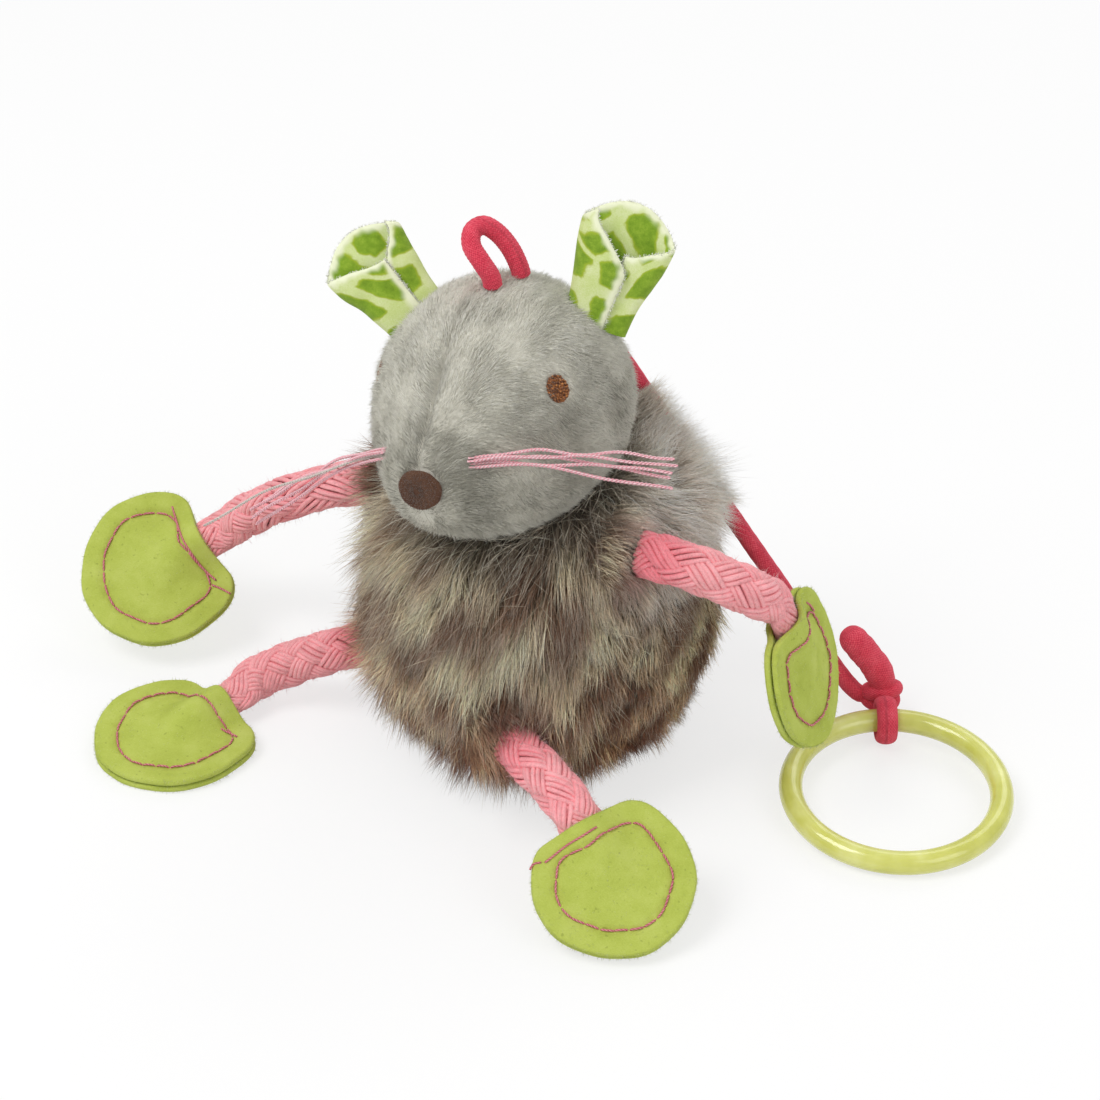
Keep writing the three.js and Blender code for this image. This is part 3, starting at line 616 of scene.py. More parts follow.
def wrap(centre, along, beside, half_long, half_short, lean, radius):
    """One closed turn of cord: an oval of two half widths, that rises by lean along its length."""
    turn = circle(60)[:, None]
    line = (centre + along * half_long * np.cos(turn) + beside * half_short * np.sin(turn)
            + np.array([0, 0, 1]) * lean * np.sin(turn + 0.6))
    across, up = sides_of(unit(np.roll(line, -1, 0) - np.roll(line, 1, 0)), [0, 0, 1])
    grid = line[:, None] + radius * all_round(circle(18), across, up)
    run = np.arange(60) / 60 * 2 * math.pi * (half_long + half_short) / 2
    uv = np.stack(np.broadcast_arrays(np.arange(18)[None] / 18, run[:, None]), -1).reshape(-1, 2)
    return grid.reshape(-1, 3), web(60, 18, True, True), np.zeros((0, 3)), uv


def cord_knot():
    """An overhand knot drawn tight: a turn over the top, a lower turn that leans the other way, and a core."""
    toward = unit([0.42, -0.9, 0])
    parts = [
        wrap(knot_place + [0.1, -0.1, 1.2], ring_tangent, toward, 2.75, 1.8, 0.75, 1.6),
        wrap(knot_place + [-0.2, 0, -1.0], ring_tangent, toward, 2.7, 1.7, -0.8, 1.55),
    ]
    core = route([knot_place + [-1.4, -0.6, -1.6], knot_place, knot_place + [0.6, 0.3, 2.4]], 0.4)
    parts.append(tubes([core], [bulb(1.9, len(core), 4)], (1, 0, 0), 18))
    p, q, t, uv = joined(parts)
    made = piece("elastic_overhand_knot", p, q, t, elastic_sleeve, "elastic", uv)
    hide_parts("elastic_knot")
    return made


def cord_bight():
    """The turn of cord round the ring's tube: a ring of oval section about the ring's own tangent."""
    turn = circle(72)[:, None]
    reach = 3.8 + 0.15 * np.cos(2 * turn)
    out = ring_away * np.cos(turn) + ring_up * np.sin(turn)
    angle = circle(22)
    grid = (bight_place + (out * reach)[:, None] + 1.15 * np.cos(angle)[:, None] * out[:, None]
            + 2.1 * np.sin(angle)[:, None] * ring_tangent)
    uv = np.stack(np.broadcast_arrays(np.arange(22)[None] / 22, turn * 3.8), -1).reshape(-1, 2)
    made = piece("elastic_bight", grid, web(72, 22, True, True), [], elastic_sleeve, "ring_loop",
                 uv)
    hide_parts("ring_loop")


def ring():
    """A torus with a very faint mould line round its widest part: the tube's radius rises there a little."""
    turn = circle(160)
    angle = circle(48)
    line_height, line_width = 0.035, 0.09
    line = line_height * np.exp(-(np.angle(np.exp(1j * angle)) / line_width) ** 2)
    tube = ring_tube - 0.03 + line
    out = ring_away * np.cos(turn)[:, None] + ring_tangent * np.sin(turn)[:, None]
    grid = (ring_centre + out[:, None] * (ring_reach + (tube * np.cos(angle))[:, None])
            + ring_up * (tube * np.sin(angle))[:, None])
    made = piece("glossy_ring", grid, web(160, 48, True, True), [], ring_plastic, "finger_ring")
    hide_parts("finger_ring")


cord, cord_path = cord_line()
tail = cord_tail()
knot = cord_knot()
cord_bight()
ring()


# ---- The head: a ball that tapers into a blunt snout along -Y, in its own turned frame
head_place = np.array([-5.1, -7.3, 80])
roll, yaw = math.radians(-12), math.radians(-4)
head_spin = (np.array([[math.cos(yaw), -math.sin(yaw), 0], [math.sin(yaw), math.cos(yaw), 0], [0, 0, 1]])
             @ np.array([[math.cos(roll), 0, math.sin(roll)], [0, 1, 0], [-math.sin(roll), 0, math.cos(roll)]]))
head_radius = 23
snout_length = 33.8
muzzle_drop = 3.8
head_width = 1.05
snout_shares = np.array([
    [0, 1], [0.2, 0.98], [0.4, 0.885], [0.58, 0.74], [0.74, 0.57],
    [0.86, 0.43], [0.94, 0.3], [0.985, 0.15], [1, 0],
])


def in_head(points):
    """Points of the shared frame, in the head's own."""
    return (points - head_place) @ head_spin


def from_head(points):
    """Points of the head's own frame, in the shared one."""
    return turned(points, head_spin, head_place)


def even_spline(knots, t):
    """A uniform Catmull-Rom curve through flat knots, at shares t of its knots."""
    k = np.asarray(knots, float)
    at = np.clip(np.asarray(t, float), 0, 1) * (len(k) - 1)
    i = np.minimum(at.astype(int), len(k) - 2)
    w = (at - i)[..., None]
    a, b, c, d = (k[np.clip(i + j, 0, len(k) - 1)] for j in (-1, 0, 1, 2))
    start, end = (c - a) / 2, (d - b) / 2
    return ((2 * b - 2 * c + start + end) * w ** 3 + (-3 * b + 3 * c - 2 * start - end) * w ** 2
            + start * w + b)


snout_line = even_spline(snout_shares, np.linspace(0, 1, 400)) * [snout_length, head_radius]
snout_line[:, 0] = np.maximum.accumulate(snout_line[:, 0])


def head_profile(count):
    """Points (reach forward, radius) from the back of the head to the snout's tip, evenly spaced."""
    back = np.linspace(math.pi / 2, 0, 200, endpoint=False)
    line = np.vstack([np.stack([-head_radius * np.sin(back), head_radius * np.cos(back)], 1), snout_line])
    return evenly(line, count)


def head_surface(forward, radius, angle):
    """The head's point at a reach forward, a radius there, and an angle round from its top."""
    return np.stack([
        head_width * radius * np.sin(angle), -forward + 0 * angle,
        radius * np.cos(angle) - muzzle_drop * smooth(forward / snout_length),
    ], -1)


def head_depth(points):
    """How far outside the head's surface a point of the head's frame lies, about; inside is below 0."""
    y = points[..., 1]
    across = points[..., 0] / head_width
    rise = points[..., 2] + muzzle_drop * smooth(-y / snout_length)
    radius = np.where(y > 0, np.sqrt(np.maximum(head_radius ** 2 - y ** 2, 0)),
                      np.interp(-y, snout_line[:, 0], snout_line[:, 1], right=-2))
    radius = np.where(y > head_radius, -2, radius)
    return np.hypot(across, rise) - radius


def head_normal(points):
    """The way the head's surface faces, from small steps of its depth."""
    step = 0.05
    slopes = [head_depth(points + step * axis) - head_depth(points - step * axis) for axis in np.eye(3)]
    return unit(np.stack(slopes, -1))


def head_reached(starts, way):
    """Where rays from inside the head come out of it, by halving the distance again and again."""
    low, high = np.zeros(len(starts)), np.full(len(starts), 60.0)
    halvings = 40
    for _ in range(halvings):
        half = (low + high) / 2
        inside = head_depth(starts + way * half[:, None]) < 0
        low, high = np.where(inside, half, low), np.where(inside, high, half)
    return starts + way * low[:, None]


# ---- The body: an egg of revolution
body_radius = 32.5
body_level = 31.0
body_drop = 31.5
body_rise = 38.5


def egg(angle, around, grow=0.0):
    """The egg's point: its radius is cosine of the angle, its height sine, longer above than below."""
    height = np.where(angle < 0, body_drop, body_rise) + grow
    reach = (body_radius + grow) * np.cos(angle)
    return np.stack([reach * np.cos(around), reach * np.sin(around), body_level + height * np.sin(angle)], -1)


def egg_level(points, grow=0.0):
    """The size of the egg through a point, as a share of the body's own."""
    height = np.where(points[..., 2] < body_level, body_drop, body_rise) + grow
    return np.sqrt((points[..., 0] ** 2 + points[..., 1] ** 2) / (body_radius + grow) ** 2
                   + ((points[..., 2] - body_level) / height) ** 2)


def egg_normal(points):
    """The way the egg faces: each coordinate over the square of its half width."""
    height = np.where(points[..., 2] < body_level, body_drop, body_rise)
    return unit(np.stack([points[..., 0] / body_radius ** 2, points[..., 1] / body_radius ** 2,
                          (points[..., 2] - body_level) / height ** 2], -1))


def off_the_body(points, grow):
    """Points inside the grown egg are moved straight out from its middle until they lie on it."""
    middle = np.array([0, 0, body_level])
    level = egg_level(points, grow)[..., None]
    return np.where(level < 1, middle + (points - middle) / np.maximum(level, 1e-6), points)


def body_skin():
    """The fur's backing: the egg, cut flat where it sits, its surface in soft low lumps."""
    angle = np.linspace(-math.pi / 2 + 0.18, math.pi / 2 - 0.01, 90)[:, None]
    around = circle(144)[None]
    grid = egg(angle + 0 * around, around + 0 * angle)
    grid = grid * (1 + 0.006 * mottle(grid, 14, 3)[..., None] * [1, 1, 0])
    grid[..., 2] = np.maximum(grid[..., 2], 0.05)
    p, q, t = rounded_grid(grid)
    made = piece("body_fur_backing", p, q, t, fur_skin, "body")
    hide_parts("body_cover")
    return made


# ---- Limbs
limbs = {
    "arm_left": dict(
        route=[[26.1, -14.9, 57.4], [32.4, -14.6, 57.3], [39.3, -12.5, 55], [45.9, -8.5, 50.4]],
        hinge=[51.4, -3.2, 41.2], outward=[0.31, 0.1, -0.94], normal=[0.94, 0.08, 0.32],
        radius=15.7, belly=0, loose=0.0, dip=1.0),
    "arm_right": dict(
        route=[[-34.4, -1.6, 48.6], [-45.3, 0.7, 44], [-57.4, 2.4, 37.1], [-70.9, 5.1, 26.9]],
        hinge=[-80, 0.2, 20.1], outward=[-0.62, -0.7, -0.35], normal=[0.24, -0.5, 0.83],
        radius=16.8, belly=0.4, loose=1.0, dip=1.8),
    "leg_left": dict(
        route=[[8.8, -34.7, 21], [14.5, -38.5, 20.6], [20.2, -41.5, 19.6]],
        hinge=[29.4, -46.8, 15.6], outward=[0.754, -0.437, -0.49], normal=[0.25, -0.5, 0.83],
        radius=15.4, belly=0.2, loose=0.0, dip=0.8),
    "leg_right": dict(
        route=[[-32.7, -12.1, 17.3], [-41.8, -14.6, 13.4], [-50.2, -16.4, 8.9], [-56.6, -20.3, 5.6]],
        hinge=[-60.4, -29.6, 4.2], outward=[-0.42, -0.905, -0.02], normal=[0, -0.02, 1],
        radius=16.6, belly=1, loose=0.0, dip=0.4),
}
limb_radius = 4.7
tip_radius = 2.1
tip_flat = tip_radius / limb_radius
wrist_length = 4.5
bundles = 4
yarns_a_bundle = 5
yarn_radius = 0.57
braid_reach = 3.4
braid_wave = 0.42
bundle_crown = 0.4
core_radius = 3.25
usual_lay = 33
loose_lay = 80


def limb_frame(limb):
    """The paw's frame as columns: outwards, across, and the way its upper felt faces."""
    outward = unit(limb["outward"])
    normal = np.array(limb["normal"], float)
    normal = unit(normal - outward * (normal @ outward))
    return np.stack([outward, np.cross(normal, outward), normal], 1)


def limb_line(limb, step):
    """The limb's middle line: its route, then straight into the paw, and a little past its hinge."""
    outward = limb_frame(limb)[:, 0]
    last = [np.array(limb["hinge"]) - outward * back for back in (wrist_length, wrist_length / 2, 0, -2.2)]
    return route(limb["route"] + [list(p) for p in last], step)


def limb_section(limb, line):
    """Side and lift at each point of the line, and how flat the section is there."""
    side, lift = sides_of(unit(np.gradient(line, axis=0)), limb_frame(limb)[:, 2])
    run = run_of(line)
    taper = smooth((run - run[-1] + 14) / (12 - wrist_length))
    return side, lift, mixed(1, tip_flat, taper)


def yarn_lines(limb, line, draw):
    """Every yarn's line, and the way out from the limb's line along it: four bundles turn each way.

    The lay is the length of a whole turn. A yarn's angle is its bundle's quarter turn plus or minus the turn
    so far; its radius rises and falls with the cosine of four turns, flattened, so that one way lies over
    the other at each crossing.
    """
    side, lift, flat = limb_section(limb, line)
    run = run_of(line)
    share = run / run[-1]
    lay = mixed(usual_lay, loose_lay, limb["loose"] * (1 - smooth((share - 0.45) / 0.35)))
    turn = np.concatenate([[0], np.cumsum(np.diff(run) * 2 * math.pi / ((lay[1:] + lay[:-1]) / 2))])
    way = np.array([1, -1])[:, None, None, None]
    bundle = circle(bundles)[None, :, None, None]
    place = np.arange(yarns_a_bundle) - (yarns_a_bundle - 1) / 2
    shift = (place * 1.5 / yarns_a_bundle)[None, None, :, None]
    stray = draw.normal(size=(2, bundles, yarns_a_bundle, 1)) * 0.02
    wander = 0.03 * np.sin(run * draw.uniform(0.2, 0.6, (2, bundles, yarns_a_bundle, 1))
                           + draw.uniform(0, 6.3, (2, bundles, yarns_a_bundle, 1)))
    angle = bundle + way * turn + shift + stray + wander
    wave = way * np.tanh(2 * np.cos(bundles * (turn + way * shift / 2))) / math.tanh(2)
    crown = bundle_crown * (1 - (place / (yarns_a_bundle / 2)) ** 2)[None, None, :, None]
    reach = braid_reach + braid_wave * wave + crown * (0.6 + 0.4 * wave)
    tips = 1 - 0.12 * smooth((share - 0.9) / 0.1)
    x = (reach * np.cos(angle) * tips)[..., None]
    z = (reach * np.sin(angle) * flat)[..., None]
    lines = (line + side * x + lift * z).reshape(-1, len(line), 3)
    radial = (side * np.cos(angle)[..., None] + lift * np.sin(angle)[..., None]).reshape(lines.shape)
    return lines, radial


def braid(name, limb, seed):
    """A limb: yarns plaited over and under one another, deeper pink near the body and painted darker on their
    sides as shade where they press together, with a core and fuzz.
    """
    draw = np.random.default_rng(seed)
    line = limb_line(limb, 0.75)
    lines, radial = yarn_lines(limb, line, draw)
    run = run_of(line)
    thick = yarn_radius * (1 + 0.08 * draw.normal(size=(len(lines), 1))) * np.ones((1, len(line)))
    thick = thick * mixed(1, 0.82, smooth((run - run[-1] + 8) / 6))[None]
    thick[:, [0, -1]] *= 0.6
    p, q, t, uv = tubes(lines, thick, radial, 6)
    # Painted shade: each yarn takes the deep side colour #E2566B round its sides, where it presses on its
    # neighbours, and the light top colour on its outer side.
    outer = np.broadcast_to(0.5 + 0.5 * np.sin(circle(6)), (len(lines), len(line), 6))
    # The pink is deeper over about the first 12 millimetres from the body.
    deeper_near_body = np.clip(0.55 * (1 - smooth((run - 3) / 9)) + 0.12 * mottle(line, 9, seed), 0, 1)[None, :, None, None]
    top = mixed(shade("#FFB2B6"), shade("#EE6A7C"), deeper_near_body) * draw.uniform(0.93, 1.05, (len(lines), 1, 1, 1))
    tone = mixed(shade("#E2566B"), top, smooth(outer * 1.25)[..., None]).reshape(len(lines), -1, 3)
    tone = np.concatenate([tone, tone[:, :1], tone[:, -1:]], 1)
    made = piece(f"{name}_braid", p, q, t, pink_yarn, name, uv, tone)
    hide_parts(name)
    braid_core(name, limb, line)
    braid_fuzz(name, lines, radial, draw, seed)


def braid_core(name, limb, line):
    """The braid's inside: a round tube along the limb's line, flattened like the braid."""
    side, lift, flat = limb_section(limb, line)
    sides = 20
    p, q, t, uv = tubes([line], [bulb(core_radius, len(line), 4)], limb_frame(limb)[:, 2], sides)
    rings = p[:-2].reshape(len(line), sides, 3) - line[:, None]
    rings = (side[:, None] * np.einsum("ijk,ik->ij", rings, side)[..., None]
             + lift[:, None] * (np.einsum("ijk,ik->ij", rings, lift) * flat[:, None])[..., None])
    p = np.vstack([(line[:, None] + rings).reshape(-1, 3), p[-2:]])
    piece(f"{name}_core", p, q, t, yarn_core, name, uv)


def braid_fuzz(name, lines, radial, draw, seed):
    """Fine fibres that stand off the yarns, each from a place on one yarn's outer side."""
    count = 1900
    pick = draw.integers(0, len(lines), count)
    spot = draw.integers(4, lines.shape[1] - 6, count)
    root = lines[pick, spot]
    out = radial[pick, spot]
    lean = unit(out * 0.6 + draw.normal(size=(count, 3)) * 0.8)
    tip = root + out * 0.4 + lean * draw.uniform(0.6, 1.9, (count, 1))
    fuzz(f"{name}_fuzz", np.stack([root, tip], 1), 0.05, "#FBA8AE", "#FFE2E2", draw, seed, name)


# ---- Paws, in a frame on the hinge line: X runs out to the far rim, Z is the way the upper felt faces
paw_middle = 10.5
mouth_reach = 12.5
mouth_half = 10
felt = 1.3
stitch_inset = 4.6
stitch_pitch = 2.7
thread_radius = 0.2


def paw_edge(limb, angle, inset=0.0):
    """The felt's outline: a wobbly circle about the paw's middle, cut straight where the braid enters."""
    round_part = limb["radius"] * (1 + 0.012 * np.sin(3 * angle + 0.4) + 0.01 * np.sin(5 * angle + 2.1)
                                   + 0.004 * np.sin(11 * angle + limb["radius"])) - inset
    towards = np.maximum(-np.cos(angle), 1e-6)
    beside = np.minimum(np.abs(np.sin(angle)) / towards * mouth_reach / mouth_half, 1)
    straight = (mouth_reach - inset - limb["dip"] * (1 - beside ** 2)) / towards
    sharp = 11.0
    return (round_part ** -sharp + straight ** -sharp) ** (-1 / sharp)


def pocket(x, y):
    """Half the opening between the felts: wide at the entry for the braid, closed from the stitches out."""
    lip = 0.1 * smooth(1 - (x + 2) / 4)
    along = 1 - smooth((x - 3) / 14)
    beside = 0.5 + 0.5 * np.cos(np.pi * np.clip(np.abs(y) / 8.2, 0, 1))
    return 0.15 + (2.4 + lip - 0.15) * along * beside


def felt_level(limb, x, y, side):
    """The inner face of a felt: half the opening up or down, less the rise that keeps a flat paw flat."""
    opening = pocket(x, y)
    return limb["belly"] * (opening - 2.4) + side * opening


def felt_layer(name, limb, side):
    """A felt disc: a face, a rounded rim and the face behind, drawn in a little along the stitches."""
    angle = circle(132)[None]
    rim = 0.45
    share, bend = disc_rows(0.02, 40, 5, 60)
    reach = share * (paw_edge(limb, angle) - rim) + rim * np.cos(bend)
    x = paw_middle + reach * np.cos(angle)
    y = reach * np.sin(angle)
    through = 0.5 + 0.5 * np.sin(bend)
    gap = reach - paw_edge(limb, angle, stitch_inset)
    draw_in = 0.34 * np.exp(-(gap / 0.8) ** 2) * through
    flat_points = np.stack([x, y, 0 * x], -1)
    lumps = 0.07 * mottle(flat_points, 5, int(limb["radius"] * 10) + side) * through
    z = felt_level(limb, x, y, side) + side * (through * felt - draw_in + lumps * (through > 0.5))
    p, q, t = rounded_grid(np.stack([x, y, z], -1))
    label = "upper" if side > 0 else "lower"
    node = "top" if side > 0 else "back"
    world = turned(p, limb_frame(limb), limb["hinge"])
    world[:, 2] = np.maximum(world[:, 2], 0.02)
    made = piece(f"{name}_{label}_felt", world, q, t, green_felt, f"{name}_paw")
    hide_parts(f"{name}_paw_{node}")


def stitch_lines(limb, side, seed):
    """Running stitches along the inset outline: each dips into the felt at both ends."""
    draw = np.random.default_rng(seed)
    angle = np.linspace(0, 2 * math.pi, 721)
    reach = paw_edge(limb, angle, stitch_inset) + 0.28 * np.sin(3 * angle + seed) + 0.16 * np.sin(7 * angle)
    x, y = paw_middle + reach * np.cos(angle), reach * np.sin(angle)
    run = run_of(np.stack([x, y], 1))
    count = int(run[-1] / stitch_pitch)
    starts = np.linspace(0, run[-1], count, endpoint=False) + draw.uniform(-0.15, 0.15, count)
    step = run[-1] / count
    share = np.linspace(0, 1, 7)[None]
    at = starts[:, None] + step * (0.02 + 0.95 * share)
    at = at + (step if side < 0 else 0) / 2
    at = np.mod(at, run[-1])
    px, py = np.interp(at, run, x), np.interp(at, run, y)
    dip = 0.5 * np.abs(2 * share - 1) ** 6
    level = felt_level(limb, px, py, side) + side * (felt + 0.02 - dip)
    return np.stack([px, py, level], -1)


def loose_end(limb, points):
    """A loose thread end lying on the upper felt through flat places."""
    line = route([[a, b, 0] for a, b in points], 0.5)
    line[:, 2] = felt_level(limb, line[:, 0], line[:, 1], 1) + felt + 0.12
    return line


thread_ends = {
    "arm_right": [[[1.9, -10.2], [2.9, -5.5], [3.5, -0.5], [3.1, 4.6], [1.8, 9.2]],
                  [[3.0, 9.6], [1.6, 11.6], [0.6, 13.4]]],
    "leg_left": [[[2.0, -9.8], [1.4, -5.4], [1.6, -1.2], [1.4, 1.6]],
                 [[1.6, -10.4], [1.2, -11.8], [1.8, -12.9]]],
    "leg_right": [[[3.8, 6.6], [3.0, 8.6], [2.6, 10.4]]],
    "arm_left": [[[1.2, 8.2], [2.6, 9.2], [4.6, 10.0]]],
}


def stitches(name, limb, seed):
    """The paw's thread: stitches on both felts, a second row beside the entry, and a loose end."""
    spin = limb_frame(limb)
    parts = []
    for side in (1, -1):
        lines = turned(stitch_lines(limb, side, seed + side), spin, limb["hinge"])
        if name == "leg_right" and side < 0:
            lines[..., 2] = np.maximum(lines[..., 2], 0.3)
        parts.append(tubes(lines, thread_radius, spin[:, 2] * side, 6))
    for row in thread_ends[name]:
        end = turned(loose_end(limb, row), spin, limb["hinge"])
        parts.append(tubes([end], thread_radius, spin[:, 2], 6))
    p, q, t, uv = joined(parts)
    made = piece(f"{name}_stitches", p, q, t, pink_thread, f"{name}_paw", uv)
    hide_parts(f"{name}_paw_stitching")


def felt_fuzz(name, limb, seed):
    """Short fibres that stand off the rims and faces of both felts."""
    draw = np.random.default_rng(seed)
    count = 2600
    angle = draw.uniform(0, 2 * math.pi, count)
    side = np.where(draw.uniform(size=count) < 0.6, 1, -1)
    on_rim = draw.uniform(size=count) < 0.6
    share = np.where(on_rim, 1, np.sqrt(draw.uniform(0.01, 0.98, count)))
    reach = share * paw_edge(limb, angle) - 0.25 * on_rim
    x, y = paw_middle + reach * np.cos(angle), reach * np.sin(angle)
    through = np.where(on_rim, draw.uniform(0, 1, count), 0.97)
    root = np.stack([x, y, felt_level(limb, x, y, 1) * (side > 0) + felt_level(limb, x, y, -1) * (side < 0)
                     + side * through * felt], 1)
    out = np.stack([np.cos(angle) * on_rim, np.sin(angle) * on_rim, side * (1 - 0.7 * on_rim)], 1)
    lean = unit(out + draw.normal(size=(count, 3)) * np.where(on_rim, 0.55, 0.9)[:, None])
    tip = root + lean * (draw.uniform(0.35, 1.0, count) * np.where(on_rim, 1, 0.5))[:, None]
    lines = turned(np.stack([root, tip], 1), limb_frame(limb), limb["hinge"])
    lines[..., 2] = np.maximum(lines[..., 2], 0.08)
    fuzz(f"{name}_felt_fuzz", lines, 0.045, "#B4C158", "#DCE39A", draw, seed, f"{name}_paw")


body_skin()
for order, (limb_name, limb_facts) in enumerate(limbs.items()):
    braid(limb_name, limb_facts, 40 + order)
    for felt_side in (1, -1):
        felt_layer(limb_name, limb_facts, felt_side)
    stitches(limb_name, limb_facts, 60 + order)
    felt_fuzz(limb_name, limb_facts, 80 + order)


# ---- Body fur
fur_count = 98000
clump_count = 2100
hairs_a_piece = 18000
head_clearance = 1.2
cord_clearance = 2.2
braid_clearance = 5.2
collar_clearance = 4.9
fluff_way = unit([0.906, 0.423, 0])
tuft_place = np.array([18.5, 7.5, 60.5])
tuft_size = 8
limb_lines = [limb_line(limb, 2.0) for limb in limbs.values()]


def spread_on_egg(count, seed, jitter):
    """Places spread evenly over the egg by area: equal shares of area up it, a golden turn round it."""
    draw = np.random.default_rng(seed)
    angle = np.linspace(-1.36, 1.45, 800)
    line = egg(angle, 0 * angle)
    band = line[:, 0] * np.linalg.norm(np.gradient(line, axis=0), axis=1)
    area = np.cumsum(band) / band.sum()
    order = np.arange(count)
    level = np.clip((order + 0.5 + draw.uniform(-jitter, jitter, count) * math.sqrt(count)) / count, 0, 1)
    around = order * GOLDEN_TURN + draw.uniform(-jitter, jitter, count) * 2 / math.sqrt(count) * 3
    return egg(np.interp(level, area, angle), around)


def outwards(root):
    """The level way out from the body's axis."""
    return unit(root * [1, 1, 0])


def fur_flow(root):
    """The way the fur is brushed: down the egg, outwards near the floor; where it is fluffy it stands up."""
    facing = egg_normal(root)
    down = np.array([0, 0, -1.0]) + facing * facing[:, 2:]
    away = outwards(root)
    outward = unit(away - facing * np.sum(away * facing, 1, keepdims=True))
    low = 1 - smooth((root[:, 2:] - 3) / 17)
    flow = unit(down * (1 - low) + (outward * 0.3 + away) * low)
    swirl = np.cross(facing, flow)
    flow = unit(flow + swirl * 0.22 * mottle(root, 22, 11)[:, None])
    return flow * (1 - 0.45 * pale_side(root) - 0.75 * cord_tuft(root))[:, None]


def cord_tuft(root):
    """Where the hair stands up before the cord, beside the head: a bell about one place."""
    return np.exp(-(np.linalg.norm(root - tuft_place, axis=1) / tuft_size) ** 2)


def pale_side(root):
    """Where the coat is pale and fluffy: high on the side towards the cord."""
    return smooth((outwards(root) @ fluff_way - 0.3) / 0.5) * smooth((root[:, 2] - 38) / 13)


def close_side(root):
    """Where the coat lies close: low down on the cord's side, and all round near the floor."""
    side = smooth((outwards(root) @ fluff_way - 0.05) / 0.5) * (1 - smooth((root[:, 2] - 44) / 12))
    return np.maximum(side, 1 - smooth((root[:, 2] - 3) / 15))


def fluff(root):
    """Where the coat is fluffy: its pale side, and a little on the far shoulder."""
    shoulder = smooth((-outwards(root) @ fluff_way - 0.5) / 0.4) * smooth((root[:, 2] - 38) / 14)
    return pale_side(root) + 0.55 * shoulder


def coat(root):
    """How long the hair is, in millimetres, and how much it stands up."""
    soft, close = fluff(root), close_side(root)
    crown = smooth((root[:, 2] - 54) / 8)
    length = 13 + soft - 2 * pale_side(root) - 7 * close - 2 * crown + 2 * cord_tuft(root)
    return length, 0.52 + 0.25 * soft - 0.36 * close


def fur_line(root, length, lift, stray):
    """A hair's three points: it leaves the skin at its lift, then bends over along the flow and down."""
    facing = egg_normal(root)
    flow = fur_flow(root)
    bend = mixed(1.05, 0.75, pale_side(root))
    points = [root]
    shares = np.array([0, 0.52, 1.0])
    for i in range(1, 3):
        middle = (shares[i] + shares[i - 1]) / 2
        way = unit(flow + facing * (lift * (1.25 - bend * middle))[:, None] + [0, 0, -0.25 * middle] + stray)
        points.append(points[-1] + way * (length * (shares[i] - shares[i - 1]))[:, None])
    return np.stack(points, 1)


def clear_of_head(points, margin):
    """Points inside the head, grown by a margin, are moved out across its own axis."""
    own = in_head(points)
    depth = head_depth(own) - margin
    axis_rise = -muzzle_drop * smooth(-own[..., 1] / snout_length)
    across = np.stack([own[..., 0], 0 * own[..., 0], own[..., 2] - axis_rise], -1)
    moved = own - unit(across) * np.minimum(depth, 0)[..., None]
    return from_head(moved)


def clear_of_lines(points, lines, radius):
    """Points nearer to a line than the radius are moved out from its nearest point."""
    flat = points.reshape(-1, 3)
    for line in lines:
        gap = np.linalg.norm(flat[:, None] - line[None], axis=2)
        nearest = line[np.argmin(gap, 1)]
        near = gap.min(1)
        out = unit(flat - nearest)
        flat = np.where((near < radius)[:, None], nearest + out * radius, flat)
    return flat.reshape(points.shape)


def nearest_of(points, centres):
    """Which centre lies nearest to each point, found in slices."""
    return np.concatenate([
        np.argmin(np.linalg.norm(part[:, None] - centres[None], axis=2), 1)
        for part in np.array_split(points, max(len(points) // 4000, 1))
    ])


clump_centres = spread_on_egg(clump_count, 8, 0.5)


